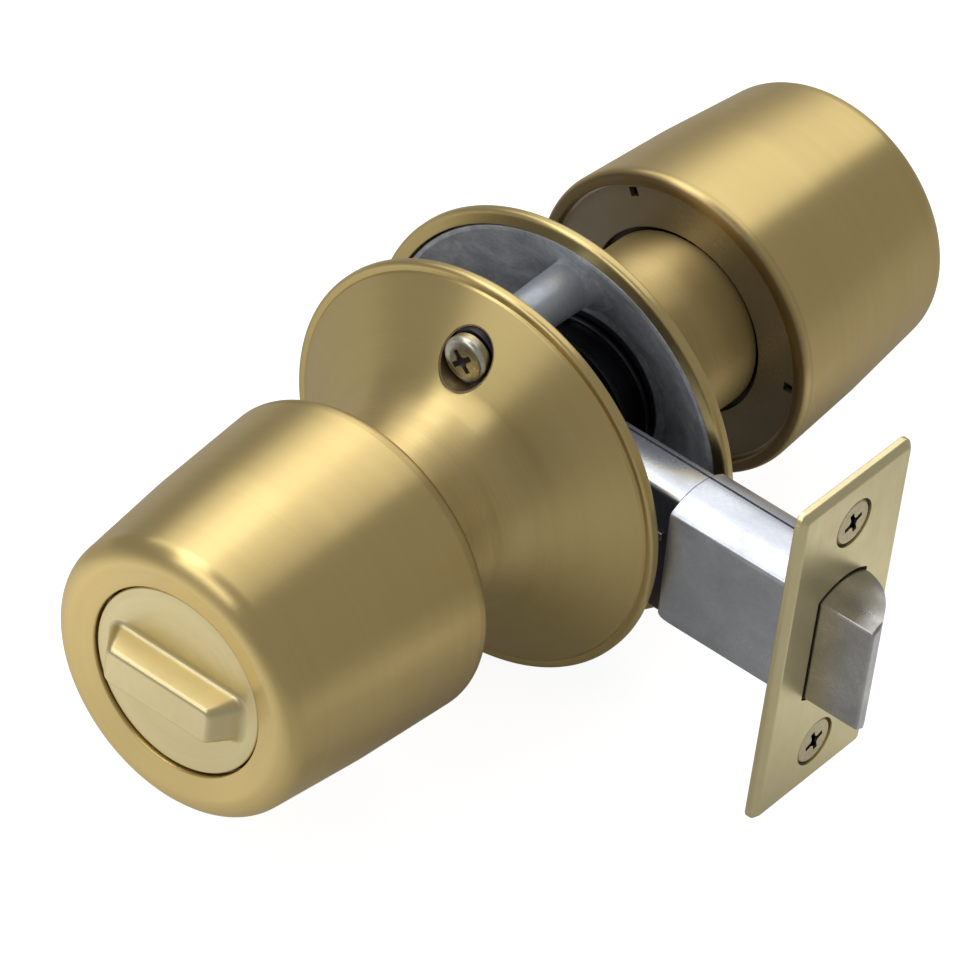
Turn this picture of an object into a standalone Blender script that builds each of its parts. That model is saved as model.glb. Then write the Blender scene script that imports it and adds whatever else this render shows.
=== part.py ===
# Tubular privacy lock: two tapered knobs on flared roses, a thumb turn, and a tubular spring latch.
# The knob axis is Y, with the inside knob and its thumb turn towards -Y and the outside knob towards +Y.
# The latch runs along +X to its faceplate, and +Z is up. The origin is where the knob axis crosses the latch.
import math
import bpy
import bmesh
from mathutils import Matrix, Vector

MM = 0.001

# Gaps between pieces, in mm
GAP = 0.3            # between a piece and what it sits on or turns in
HOLE_GAP = 0.35      # between a shaft or screw and its round hole
CUT_OVERRUN = 1.0    # how far a cut runs past the wall it opens

# Shanks and what is on them, in mm; depths along the knob axis run outwards from the latch's middle
DOOR_HALF = 7.7      # from the latch's middle to the rim of a rose
SHANK_RADIUS = 11.5
SHANK_WALL = 1.6
SHANK_END = 6.0
SHANK_FLOOR = 2.0
FLANGE_WALL = 2.0
RING_SET = 2.8       # from the shank's door end to its retaining ring
RING_DEPTH = SHANK_END + RING_SET
RING_WALL = 0.9
RING_GROOVE = 0.6
RING_STAND = 2.1     # how far the retaining ring stands out of the shank
RING_OPENING = 3.2
LOCK_SET = 0.9       # from the ring to the locking slide
LOCK_DEPTH = RING_DEPTH + RING_WALL + LOCK_SET
LOCK_WALL = 2.4      # thickness of the locking slide
SPRING_WIRE = 0.45   # wire radius of a return spring
SPRING_TURNS = 1.7
SPRING_PITCH = 0.99
SPRING_SET = 0.4     # from the spring to the castings round it
SPRING_START = LOCK_DEPTH + LOCK_WALL + SPRING_SET + SPRING_WIRE
SPRING_END = SPRING_START + SPRING_TURNS * SPRING_PITCH + SPRING_WIRE

# Chassis castings inside the roses, in mm
WEB = 1.4
WEB_STEP = 0.5       # from the dish's inner edge to the web
WEB_NEAR = SPRING_END + SPRING_SET
WEB_FAR = WEB_NEAR + WEB
COLLAR_LENGTH = 5.3
COLLAR_WALL = 1.1
DISH_ROOM = 3.3      # round the shank, for its ring and spring
DISH_HOLE = SHANK_RADIUS + DISH_ROOM
DISH_WALL = 1.2
CHASSIS_RIM_GAP = 0.35           # radial gap to the rose's lip
CHASSIS_DROP = 0.3               # how far the casting sits inside the rim
CHASSIS_EDGE = 0.7

# Through screws and their posts, in mm
SCREW_SHANK = 1.9
SCREW_HEAD = 3.55
SCREW_HEAD_DEPTH = 3.0
POCKET_ROOM = 0.65   # between a screw's head and the hole in the inside rose
SCREW_POCKET = SCREW_HEAD + POCKET_ROOM
SCREW_REACH = 11.0   # length of screw inside the post
SCREW_BORDER = 8.6   # from the dish's centre opening to a screw's middle
SCREW_OFFSET = DISH_HOLE + SCREW_BORDER
SEAT_RADIUS = SCREW_HEAD + HOLE_GAP
SEAT_POCKET = SEAT_RADIUS + GAP
SEAT_SINK = 4.6      # from the web's outer side back to the screw head's seat
SEAT_DEPTH = WEB_FAR - SEAT_SINK
POST_WALL = 1.6
POST_TAPER = 0.4
POST_TIP = SCREW_SHANK + POST_WALL
POST_ROOT = POST_TIP + POST_TAPER
POST_PAD = 0.25      # how far a post's root stands out behind the casting
POST_END_GAP = 1.0   # between a post and the inside chassis

# Roses, in mm
ROSE_SHEET = 0.7
ROSE_RIM_DEPTH = 1.9
ROSE_ROUND = 0.65    # radius on both edges of the rim
ROSE_LIP = 2.3       # width of the rim's turned-in edge
ROSE_BEAD = 1.5      # from the rim to where the flared face begins
ROSE_GROOVE = 0.15   # depth of the line between them
ROSE_FLARE = 14.0    # radius of the curve between face and neck
ROSE_BORDER = 9.1    # from the screws' centres to the rose's rim
ROSE_RADIUS = SCREW_OFFSET + ROSE_BORDER
ROSE_RISE = 3.17     # from the web to where the face's slope would meet the neck
ROSE_JOIN = WEB_FAR + ROSE_RISE
NECK_ROOM = 0.8      # between the chassis collar and the neck's inside
NECK_RADIUS = SHANK_RADIUS + GAP + COLLAR_WALL + NECK_ROOM + ROSE_SHEET

# Thumb turn and the discs in the knobs' faces, in mm
TURN_DISC = 14.4
TURN_WALL = 2.2
TURN_BAR_LENGTH = 24.4
TURN_BAR_WIDTH = 7.8
TURN_BAR_HEIGHT = 4.6
TURN_BAR_DRAFT = 0.22
TURN_BAR_END_DRAFT = 0.66
TURN_BAR_ROUND = 0.6
TURN_BOSS = 4.0
TURN_BOSS_LENGTH = 5.6
SOCKET_END = 0.5     # from the turn rod's socket to the disc's back
FACE_GAP = 0.35      # round the turn, in the knob's face
CUP_WALL = 1.2
CUP_RIM = 1.9
RELEASE_STEP = 0.6
RELEASE_RADIUS = TURN_BOSS + RELEASE_STEP
RELEASE_SLOT = 1.2
RELEASE_SLOT_DEPTH = 1.3

# Knobs, in mm
KNOB_SHEET = 1.2
KNOB_BACK = 36.0
KNOB_LENGTH = 39.0
KNOB_OVERHANG = 10.5                 # from the neck to the knob's back rim
KNOB_RIM_RADIUS = NECK_RADIUS + KNOB_OVERHANG
KNOB_LIP = 2.3
KNOB_RIM_ROUND = 1.8
KNOB_TAPER = 3.2                     # how much smaller the front is than the back rim
KNOB_FRONT_RADIUS = KNOB_RIM_RADIUS - KNOB_TAPER
KNOB_FRONT_ROUND = 3.2
KNOB_BULGE = 0.35                    # how far the tapered side stands out of a straight line
KNOB_BULGE_RADIUS = 60.0
KNOB_DISH = 0.8                      # how far the face falls towards its hole
KNOB_FACE = KNOB_BACK + KNOB_LENGTH
TURN_FACE = KNOB_FACE - KNOB_SHEET
BACK_DISC_WALL = 1.0
BACK_DISC_SET = 0.6                  # between the back disc's edge and the shell
FLANGE_SET = 1.2                     # between the shank's flange and the shell
BACK_DISC_GAP = 0.8                  # between the back disc and the rose's neck
NOTCH_INSET = 2.2                    # from the back disc's edge to a notch's middle
NOTCH_SIZE = 1.5
NOTCH_COUNT = 3
FLANGE_DEPTH = KNOB_BACK + KNOB_SHEET + BACK_DISC_WALL + 2 * GAP
NECK_SET = 0.5                       # from the neck's end to the shank's flange
NECK_END = FLANGE_DEPTH - NECK_SET

# Spindle, rod and privacy lock, in mm
SPINDLE = 7.6        # across its flats
SPINDLE_BORE = 2.3
SPINDLE_SET = 1.0    # from the spindle's end to the locking slide
SPINDLE_NEAR = LOCK_DEPTH - SPINDLE_SET
SPINDLE_FAR = 38.4
ROD = 2.4            # across the flats of the turn rod
ROD_END_GAP = 0.8
CRANK_RADIUS = 4.3
CRANK_WALL = 1.4
CRANK_PIN = 0.9
LOCK_TRAVEL = 4.0
LOCK_STAND = 1.5     # how far the slide stands out of the shank at rest
LOCK_TIP = SHANK_RADIUS + LOCK_STAND
LOCK_WIDTH = 4.4
LOCK_RAIL = 1.8      # width of the slide beside its notch
LUG_SET = 0.4
LUG_INNER = LOCK_TIP + LUG_SET
LUG_OUTER = LOCK_TIP + LOCK_TRAVEL
LUG_WIDTH = 2.4

# Hub and fork of the latch, in mm
KNOB_SWING = 60.0    # degrees from rest to a fully drawn bolt
BOLT_THROW = 9.2
HUB_LOBE_TIP = 0.9
HUB_LOBE_HALF = 1.9
HUB_LOBE_REACH = 2.3                 # from the hub's round body to the middle of a lobe's tip
HUB_LOBE_RADIUS = BOLT_THROW / (2 * math.sin(math.radians(KNOB_SWING / 2)))
HUB_RADIUS = HUB_LOBE_RADIUS - HUB_LOBE_REACH
HOUSING_HALF = 4.2
HOUSING_WALL = 0.8
CASE_RADIUS = math.hypot(HUB_LOBE_RADIUS + HUB_LOBE_TIP + GAP, HUB_LOBE_HALF) + HOUSING_WALL
FORK_GAP = 0.3
FORK_WALL = 0.8
FORK_INNER = HUB_LOBE_HALF + FORK_GAP
FORK_OUTER = FORK_INNER + FORK_WALL
FORK_HALF = math.sqrt((CASE_RADIUS - HOUSING_WALL) ** 2 - FORK_OUTER ** 2) - GAP
FORK_ROOM = 1.0                      # between the hub and the fork's legs
FORK_THROAT = HUB_RADIUS + FORK_ROOM
FORK_LUG = 1.6
FORK_WEB = 3.6
LUG_PLAY = 0.5                       # between a lobe and the fork's lug at rest
LUG_FRONT = BOLT_THROW / 2 - HUB_LOBE_TIP - LUG_PLAY
LUG_BACK = LUG_FRONT - FORK_LUG
WEB_START = HUB_LOBE_RADIUS + HUB_LOBE_TIP + BOLT_THROW + HOLE_GAP
HOUSING_ROOM = 4.2                   # behind the drawn fork
HOUSING_REAR = LUG_BACK - BOLT_THROW - HOUSING_WALL - HOUSING_ROOM
STEM_HALF_WIDTH = 2.9
STEM_HALF_HEIGHT = 2.2
TAIL_PIN = 1.0

# Latch case, bolt and faceplate, in mm
BACKSET = 58.0
PLATE_SCREW_SPACING = 41.3
PLATE_END = 7.925    # from a screw's middle to the plate's end
PLATE_HEIGHT = PLATE_SCREW_SPACING + 2 * PLATE_END
PLATE_WIDTH = 25.4
PLATE_WALL = 1.8
PLATE_BEVEL = 0.9
PLATE_SCREW_HEAD = 3.65
PLATE_SCREW_SINK = 0.15
PLATE_SCREW_EDGE = 0.4
PLATE_SCREW_SHANK = 2.0
PLATE_SCREW_LENGTH = 4.8
BOLT_SPRING_WIRE = 0.42
BOLT_SPRING_ROOM = 0.45
BOLT_SPRING_RADIUS = math.hypot(STEM_HALF_WIDTH, STEM_HALF_HEIGHT) + BOLT_SPRING_WIRE + BOLT_SPRING_ROOM
CASE_WALL = 0.7
CASE_ROOM = 0.57     # between the bolt spring and a flat side
CASE_HALF = BOLT_SPRING_RADIUS + BOLT_SPRING_WIRE + CASE_ROOM + CASE_WALL
CASE_SEAM = 0.5
SEAM_SHIFT = 2.6     # from the middle of the top to the seam
CASE_LENGTH = 23.9
CASE_FRONT = BACKSET - PLATE_WALL - GAP
CASE_REAR = CASE_FRONT - CASE_LENGTH
BOLT_PROUD = 9.4
BOLT_BODY = 5.2      # length of the bolt behind the faceplate
BOLT_REAR = BACKSET - PLATE_WALL - BOLT_BODY
BOLT_LAND = 1.4      # width of the flat tip
BOLT_HEEL = 0.6      # where the slanted face leaves the faceplate
BOLT_CROWN = 1.35    # how far the slanted face stands out of a straight line
BOLT_CROWN_STEPS = 6
TAB_SET = 1.4        # from the housing's front to the tab stamped in its side
TAB_LENGTH = 1.9
TAB_HEIGHT = 1.3
TAB_STAND = 0.6
TAB_RISE = 3.0       # from the latch's middle to the tab's middle
STOP_WALL = 1.2
BOLT_SPRING_TURNS = 7

# Facets
BIG_STEPS = 32
MID_STEPS = 24
SMALL_STEPS = 16

BRASS = (0.62, 0.52, 0.30)
PALE_BRASS = (0.74, 0.68, 0.44)
ZINC = (0.42, 0.43, 0.45)
STEEL = (0.62, 0.63, 0.65)
DARK_STEEL = (0.25, 0.26, 0.28)

INSIDE = -1
OUTSIDE = 1


def new_collection(name):
    collection = bpy.data.collections.new(name)
    bpy.context.scene.collection.children.link(collection)
    return collection


def finish_material(name, colour, roughness, metallic=1.0):
    material = bpy.data.materials.new(name)
    material.use_nodes = True
    shader = material.node_tree.nodes["Principled BSDF"]
    shader.inputs["Base Color"].default_value = (*colour, 1.0)
    shader.inputs["Roughness"].default_value = roughness
    shader.inputs["Metallic"].default_value = metallic
    return material


def add_object(name, bm, collection):
    mesh = bpy.data.meshes.new(name)
    bm.to_mesh(mesh)
    bm.free()
    obj = bpy.data.objects.new(name, mesh)
    collection.objects.link(obj)
    return obj


def facing(side):
    """The turn that sends local +Z outwards along the knob axis on this side, with local +X kept."""
    return Matrix.Rotation(-side * math.pi / 2, 4, "X")


def along_x():
    """The turn that sends local +Z to +X and keeps local +Y."""
    return Matrix.Rotation(math.pi / 2, 4, "Y")


def hide_cutter(obj):
    obj.hide_render = True
    obj.display_type = "WIRE"
    return obj


def cut(target, cutter, operation="DIFFERENCE"):
    modifier = target.modifiers.new(cutter.name, "BOOLEAN")
    modifier.operation = operation
    modifier.object = cutter
    modifier.solver = "EXACT"
    return target


def rounded(corners):
    """A polyline through corners (radius, depth, fillet, steps), with filleted corners turned into arcs."""
    points = []
    last = len(corners) - 1
    for index, (radius, depth, fillet, arc_steps) in enumerate(corners):
        here = Vector((radius, depth))
        if fillet <= 0 or index in (0, last):
            points.append(here)
            continue
        before = (Vector(corners[index - 1][:2]) - here).normalized()
        after = (Vector(corners[index + 1][:2]) - here).normalized()
        half = before.angle(after) / 2
        reach = fillet / math.tan(half)
        centre = here + (before + after).normalized() * (fillet / math.sin(half))
        start = here + before * reach - centre
        sweep = math.pi - 2 * half
        if before.x * after.y - before.y * after.x > 0:
            sweep = -sweep
        for step in range(arc_steps + 1):
            angle = sweep * step / arc_steps
            turned = Vector((start.x * math.cos(angle) - start.y * math.sin(angle),
                             start.x * math.sin(angle) + start.y * math.cos(angle)))
            points.append(centre + turned)
    return points


def turned(name, points, collection, steps=BIG_STEPS, closed=True, shell=0.0):
    """A turned piece round local Z: points (radius, depth) run down its outer side, top to bottom."""
    bm = bmesh.new()
    verts = [bm.verts.new((point[0] * MM, 0.0, point[1] * MM)) for point in points]
    for first, second in zip(verts, verts[1:]):
        bm.edges.new((first, second))
    if closed:
        bm.edges.new((verts[-1], verts[0]))
    obj = add_object(name, bm, collection)
    screw = obj.modifiers.new("turn", "SCREW")
    screw.axis = "Z"
    screw.steps = steps
    screw.render_steps = steps
    screw.use_merge_vertices = True
    screw.merge_threshold = 0.00001
    screw.use_smooth_shade = True
    if shell:
        wall = obj.modifiers.new("wall", "SOLIDIFY")
        wall.thickness = shell * MM
        wall.offset = -1.0
        wall.use_even_offset = True
    return obj


def box(name, low, high, collection, matrix=None):
    """A box between two corners, in mm."""
    bm = bmesh.new()
    size = Vector(high) - Vector(low)
    middle = (Vector(high) + Vector(low)) / 2
    bmesh.ops.create_cube(bm, size=1.0)
    bmesh.ops.transform(bm, verts=bm.verts,
                        matrix=Matrix.Translation(middle * MM) @ Matrix.Diagonal((*(size * MM), 1.0)))
    obj = add_object(name, bm, collection)
    if matrix:
        obj.matrix_world = matrix
    return obj


def rod(name, radius, low, high, collection, matrix=None, steps=SMALL_STEPS, tip=None, at=(0.0, 0.0)):
    """A round rod or cone along local Z from low to high, at (x, y), in mm."""
    bm = bmesh.new()
    place = Matrix.Translation(Vector((at[0], at[1], (low + high) / 2)) * MM)
    bmesh.ops.create_cone(bm, cap_ends=True, segments=steps, radius1=radius * MM,
                          radius2=(radius if tip is None else tip) * MM,
                          depth=(high - low) * MM, matrix=place)
    obj = add_object(name, bm, collection)
    if matrix:
        obj.matrix_world = matrix
    return obj


def plate(name, outline, low, high, collection, matrix=None):
    """A flat outline (x, y) in mm, thickened along local Z from low to high."""
    bm = bmesh.new()
    verts = [bm.verts.new((x * MM, y * MM, low * MM)) for x, y in outline]
    face = bm.faces.new(verts)
    bmesh.ops.recalc_face_normals(bm, faces=[face])
    lift = bmesh.ops.extrude_face_region(bm, geom=[face])
    raised = [item for item in lift["geom"] if isinstance(item, bmesh.types.BMVert)]
    bmesh.ops.translate(bm, verts=raised, vec=(0.0, 0.0, (high - low) * MM))
    bmesh.ops.recalc_face_normals(bm, faces=bm.faces)
    obj = add_object(name, bm, collection)
    if matrix:
        obj.matrix_world = matrix
    return obj


def coil(name, radius, wire, turns, start, pitch, collection, matrix):
    """A coil spring round local Z, in mm, as a bevelled curve."""
    steps = 12
    count = int(turns * steps) + 1
    curve = bpy.data.curves.new(name, "CURVE")
    curve.dimensions = "3D"
    curve.bevel_depth = wire * MM
    curve.bevel_resolution = 1
    curve.use_fill_caps = True
    spline = curve.splines.new("POLY")
    spline.points.add(count - 1)
    for index in range(count):
        angle = 2 * math.pi * index / steps
        spline.points[index].co = (radius * math.cos(angle) * MM, radius * math.sin(angle) * MM,
                                   (start + pitch * index / steps) * MM, 1.0)
    obj = bpy.data.objects.new(name, curve)
    collection.objects.link(obj)
    obj.matrix_world = matrix
    return obj


def case_outline(half, radius, arc_steps=8):
    """The latch's section: two flats joined by arcs of one circle, as (height, width) points."""
    reach = math.asin(half / radius)
    upper = [(radius * math.cos(angle), radius * math.sin(angle))
             for angle in (reach * (2 * step / arc_steps - 1) for step in range(arc_steps + 1))]
    lower = [(-height, -width) for height, width in upper]
    return upper + lower


def latch_bar(name, half, radius, rear, front, collection):
    """The latch's section carried along +X from rear to front."""
    outline = [(-height, width) for height, width in case_outline(half, radius)]
    return plate(name, outline, rear, front, collection, along_x())


def rose_points():
    """The rose's outer side, from the neck's end to the lip, in (radius, depth)."""
    rim_top = DOOR_HALF + ROSE_RIM_DEPTH
    face_radius = ROSE_RADIUS - ROSE_BEAD
    return rounded([
        (NECK_RADIUS, NECK_END, 0, 0),
        (NECK_RADIUS, ROSE_JOIN, ROSE_FLARE, 4),
        (face_radius, rim_top + ROSE_GROOVE, 0, 0),
        (face_radius + 2 * ROSE_GROOVE, rim_top - ROSE_GROOVE, 0, 0),
        (ROSE_RADIUS, rim_top, ROSE_ROUND, 2),
        (ROSE_RADIUS, DOOR_HALF, ROSE_ROUND, 2),
        (ROSE_RADIUS - ROSE_LIP, DOOR_HALF, 0, 0),
    ])


def chassis_rim():
    return ROSE_RADIUS - ROSE_LIP - CHASSIS_RIM_GAP


def chassis_depth(radius):
    """Depth of the dished casting's door side at a radius, from its flat rim to its centre opening."""
    flat_edge = chassis_rim() - CHASSIS_EDGE
    rim_depth = DOOR_HALF + CHASSIS_DROP
    share = max(flat_edge - radius, 0.0) / (flat_edge - DISH_HOLE)
    return rim_depth + (WEB_NEAR - WEB_STEP - rim_depth) * share


def make_rose(name, side, parts, cutters):
    rose = turned(name, rose_points(), parts, closed=False, shell=ROSE_SHEET)
    rose.matrix_world = facing(side)
    if side == INSIDE:
        for label, height in (("upper", SCREW_OFFSET), ("lower", -SCREW_OFFSET)):
            hole = rod(f"rose_pocket_{label}", SCREW_POCKET, DOOR_HALF, ROSE_JOIN, cutters,
                       facing(side), MID_STEPS, at=(0, height))
            cut(rose, hide_cutter(hole))
    return rose


def make_chassis(name, side, parts, cutters):
    """The dished zinc casting behind a rose, with the collar that the shank turns in."""
    rim = chassis_rim()
    bore = SHANK_RADIUS + GAP
    collar = bore + COLLAR_WALL
    shoulder = DISH_HOLE + DISH_WALL
    points = [
        (bore, WEB_FAR + COLLAR_LENGTH),
        (collar, WEB_FAR + COLLAR_LENGTH),
        (collar, WEB_FAR),
        (shoulder, WEB_FAR),
        (rim, chassis_depth(rim) + CHASSIS_EDGE),
        (rim, chassis_depth(rim)),
        (rim - CHASSIS_EDGE, chassis_depth(rim)),
        (DISH_HOLE, WEB_NEAR - WEB_STEP),
        (DISH_HOLE, WEB_NEAR),
        (bore, WEB_NEAR),
    ]
    chassis = turned(name, points, parts)
    chassis.matrix_world = facing(side)
    rows = (("upper", SCREW_OFFSET), ("lower", -SCREW_OFFSET))
    tip = -(chassis_depth(SCREW_OFFSET + POST_TIP) - POST_END_GAP)
    if side == OUTSIDE:
        for label, height in rows:
            post = rod(f"post_{label}", POST_TIP, tip, WEB_FAR, cutters, facing(side), MID_STEPS,
                       tip=POST_ROOT, at=(0, height))
            cut(chassis, hide_cutter(post), "UNION")
        trim = turned("post_trim", [
            (shoulder, ROSE_JOIN), (rim, ROSE_JOIN),
            (rim, chassis_depth(rim) + CHASSIS_EDGE + POST_PAD), (shoulder, WEB_FAR + POST_PAD),
        ], cutters)
        trim.matrix_world = facing(side)
        cut(chassis, hide_cutter(trim))
    for label, height in rows:
        if side == OUTSIDE:
            bore_hole = rod(f"post_bore_{label}", SCREW_SHANK + HOLE_GAP, tip - CUT_OVERRUN,
                            tip + SCREW_REACH + CUT_OVERRUN, cutters, facing(side), at=(0, height))
        else:
            root = chassis_depth(SCREW_OFFSET)
            seat = rod(f"seat_{label}", SEAT_RADIUS, root + GAP, SEAT_DEPTH + GAP, cutters, facing(side),
                       MID_STEPS, at=(0, height))
            cut(chassis, hide_cutter(seat), "UNION")
            pocket = rod(f"seat_pocket_{label}", SEAT_POCKET, SEAT_DEPTH, ROSE_JOIN, cutters,
                         facing(side), MID_STEPS, at=(0, height))
            cut(chassis, hide_cutter(pocket))
            bore_hole = rod(f"seat_bore_{label}", SCREW_SHANK + HOLE_GAP, DOOR_HALF, ROSE_JOIN,
                            cutters, facing(side), at=(0, height))
        cut(chassis, hide_cutter(bore_hole))
    if side == INSIDE:
        inner = LOCK_WIDTH / 2 + GAP
        for label, sign in (("left", -1), ("right", 1)):
            edges = sorted((sign * inner, sign * (inner + LUG_WIDTH)))
            lug = box(f"lock_lug_{label}", (edges[0], LUG_INNER, LOCK_DEPTH),
                      (edges[1], LUG_OUTER, WEB_NEAR + WEB / 2), cutters, facing(side))
            cut(chassis, hide_cutter(lug), "UNION")
    return chassis


def knob_points():
    """The knob shell's outer side, from the hole in its face to the lip of its back rim."""
    middle = KNOB_BACK + KNOB_LENGTH / 2
    middle_radius = (KNOB_RIM_RADIUS + KNOB_FRONT_RADIUS) / 2 + KNOB_BULGE
    return rounded([
        (TURN_DISC + FACE_GAP, KNOB_FACE - KNOB_DISH, 0, 0),
        (KNOB_FRONT_RADIUS - KNOB_FRONT_ROUND, KNOB_FACE, 2 * KNOB_DISH, 1),
        (KNOB_FRONT_RADIUS, KNOB_FACE - GAP, KNOB_FRONT_ROUND, 4),
        (middle_radius, middle, KNOB_BULGE_RADIUS, 1),
        (KNOB_RIM_RADIUS, KNOB_BACK, KNOB_RIM_ROUND, 3),
        (KNOB_RIM_RADIUS - KNOB_LIP, KNOB_BACK, 0, 0),
    ])


def make_knob_shell(name, side, parts):
    shell = turned(name, knob_points(), parts, closed=False, shell=KNOB_SHEET)
    shell.matrix_world = facing(side)
    return shell


def make_back_disc(name, side, parts, cutters):
    """The plated disc that closes the knob's back, with its locating notches."""
    near = KNOB_BACK + KNOB_SHEET + GAP
    outer = KNOB_RIM_RADIUS - KNOB_SHEET - BACK_DISC_SET
    notch_radius = outer - NOTCH_INSET
    inner = NECK_RADIUS + BACK_DISC_GAP
    disc = turned(name, [(outer, near + BACK_DISC_WALL), (outer, near), (inner, near),
                         (inner, near + BACK_DISC_WALL)], parts)
    disc.matrix_world = facing(side)
    for index in range(NOTCH_COUNT):
        spin = Matrix.Rotation(2 * math.pi * index / NOTCH_COUNT, 4, "Z")
        notch = box(f"{name}_notch_{index}",
                    (notch_radius - NOTCH_SIZE / 2, -NOTCH_SIZE / 2, near - CUT_OVERRUN),
                    (notch_radius + NOTCH_SIZE / 2, NOTCH_SIZE / 2, near + BACK_DISC_WALL + CUT_OVERRUN),
                    cutters, facing(side) @ spin)
        cut(disc, hide_cutter(notch))
    return disc


def make_shank(name, side, parts, cutters):
    """The knob's hollow shank, with a flange inside the shell and a square hole at the door end."""
    bore = SHANK_RADIUS - SHANK_WALL
    near = FLANGE_DEPTH
    far = near + FLANGE_WALL
    flange = KNOB_RIM_RADIUS - KNOB_SHEET - FLANGE_SET
    groove_low = RING_DEPTH - GAP
    groove_high = RING_DEPTH + RING_WALL + GAP
    floor = SHANK_END + SHANK_FLOOR
    points = [
        (0, floor), (bore, floor), (bore, far), (flange, far), (flange, near), (SHANK_RADIUS, near),
        (SHANK_RADIUS, groove_high), (SHANK_RADIUS - RING_GROOVE, groove_high),
        (SHANK_RADIUS - RING_GROOVE, groove_low), (SHANK_RADIUS, groove_low),
        (SHANK_RADIUS, SHANK_END), (0, SHANK_END),
    ]
    shank = turned(name, points, parts, steps=MID_STEPS, closed=False)
    shank.matrix_world = facing(side)
    half = SPINDLE / 2 + GAP
    square = box(f"{name}_square", (-half, -half, SHANK_END - CUT_OVERRUN),
                 (half, half, SHANK_END + SHANK_FLOOR + CUT_OVERRUN),
                 cutters, facing(side))
    cut(shank, hide_cutter(square))
    if side == INSIDE:
        reach = LOCK_WIDTH / 2 + GAP
        slot = box(f"{name}_slot", (-reach, 0, LOCK_DEPTH - GAP),
                   (reach, SHANK_RADIUS + CUT_OVERRUN, LOCK_DEPTH + LOCK_WALL + GAP), cutters, facing(side))
        cut(shank, hide_cutter(slot))
    return shank


def make_retaining_ring(name, side, parts, cutters):
    """The open spring ring in the shank's groove."""
    inner = SHANK_RADIUS - RING_GROOVE + GAP
    outer = SHANK_RADIUS + RING_STAND
    ring = turned(name, [(outer, RING_DEPTH + RING_WALL), (outer, RING_DEPTH), (inner, RING_DEPTH),
                         (inner, RING_DEPTH + RING_WALL)], parts, steps=MID_STEPS)
    ring.matrix_world = facing(side)
    gap = box(f"{name}_gap", (-RING_OPENING / 2, -outer - CUT_OVERRUN, RING_DEPTH - CUT_OVERRUN),
              (RING_OPENING / 2, 0, RING_DEPTH + RING_WALL + CUT_OVERRUN), cutters, facing(side))
    cut(ring, hide_cutter(gap))
    return ring


def make_return_spring(name, side, parts):
    radius = SHANK_RADIUS + GAP + SPRING_WIRE + HOLE_GAP / 2
    return coil(name, radius, SPRING_WIRE, SPRING_TURNS, SPRING_START, SPRING_PITCH, parts, facing(side))


def make_cup(name, side, parts):
    """The cup inside the knob's face that carries the turn or the blank disc."""
    top = KNOB_FACE - KNOB_DISH - KNOB_SHEET - GAP
    floor = TURN_FACE - TURN_WALL - GAP
    hole = TURN_BOSS + HOLE_GAP
    wall_inner = TURN_DISC + GAP
    outer = TURN_DISC + GAP + CUP_RIM
    cup = turned(name, [(outer, top), (outer, floor - CUP_WALL), (hole, floor - CUP_WALL),
                        (hole, floor), (wall_inner, floor), (wall_inner, top)], parts)
    cup.matrix_world = facing(side)
    return cup


def square_hole(target, name, half, low, high, cutters, matrix):
    hole = box(name, (-half, -half, low), (half, half, high), cutters, matrix)
    return cut(target, hide_cutter(hole))


def make_thumb_turn(parts, cutters):
    """The turn's disc and boss, turned in one piece with a raised grip bar."""
    back = TURN_FACE - TURN_WALL
    boss_end = back - TURN_BOSS_LENGTH
    body = turned("thumb_turn", [(0, TURN_FACE), (TURN_DISC, TURN_FACE), (TURN_DISC, back), (TURN_BOSS, back),
                                 (TURN_BOSS, boss_end), (0, boss_end)], parts, closed=False)
    body.matrix_world = facing(INSIDE)
    bm = bmesh.new()
    bmesh.ops.create_cube(bm, size=1.0)
    for vert in bm.verts:
        raised = vert.co.z > 0
        rise = TURN_BAR_HEIGHT if raised else 0.0
        vert.co.x = math.copysign(TURN_BAR_LENGTH / 2 - rise * TURN_BAR_END_DRAFT, vert.co.x) * MM
        vert.co.y = math.copysign(TURN_BAR_WIDTH / 2 - rise * TURN_BAR_DRAFT, vert.co.y) * MM
        vert.co.z = (TURN_FACE + TURN_BAR_HEIGHT if raised else TURN_FACE - TURN_WALL / 2) * MM
    bar = add_object("turn_grip", bm, cutters)
    bar.matrix_world = facing(INSIDE)
    soften = bar.modifiers.new("soften", "BEVEL")
    soften.width = TURN_BAR_ROUND * MM
    soften.segments = 2
    cut(body, hide_cutter(bar), "UNION")
    square_hole(body, "turn_socket", ROD / 2 + GAP, boss_end - CUT_OVERRUN, back - SOCKET_END, cutters,
                facing(INSIDE))
    return body


def make_turn_rod(parts):
    """The square rod from the thumb turn through the spindle to the outside release."""
    half = ROD / 2
    reach = TURN_FACE - TURN_WALL - SOCKET_END - ROD_END_GAP
    return box("turn_rod", (-half, -reach, -half), (half, reach, half), parts)


def make_release(parts, cutters):
    """The slotted emergency release in the middle of the outside knob's face."""
    back = TURN_FACE - TURN_WALL
    boss_end = back - TURN_BOSS_LENGTH
    release = turned("emergency_release", [(0, TURN_FACE), (RELEASE_RADIUS, TURN_FACE), (RELEASE_RADIUS, back),
                                           (TURN_BOSS, back), (TURN_BOSS, boss_end), (0, boss_end)],
                     parts, steps=MID_STEPS, closed=False)
    release.matrix_world = facing(OUTSIDE)
    reach = RELEASE_RADIUS + CUT_OVERRUN
    slot = box("release_slot", (-reach, -RELEASE_SLOT / 2, TURN_FACE - RELEASE_SLOT_DEPTH),
               (reach, RELEASE_SLOT / 2, TURN_FACE + CUT_OVERRUN), cutters, facing(OUTSIDE))
    cut(release, hide_cutter(slot))
    square_hole(release, "release_socket", ROD / 2 + GAP, boss_end - CUT_OVERRUN, back - SOCKET_END, cutters,
                facing(OUTSIDE))
    return release


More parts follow.
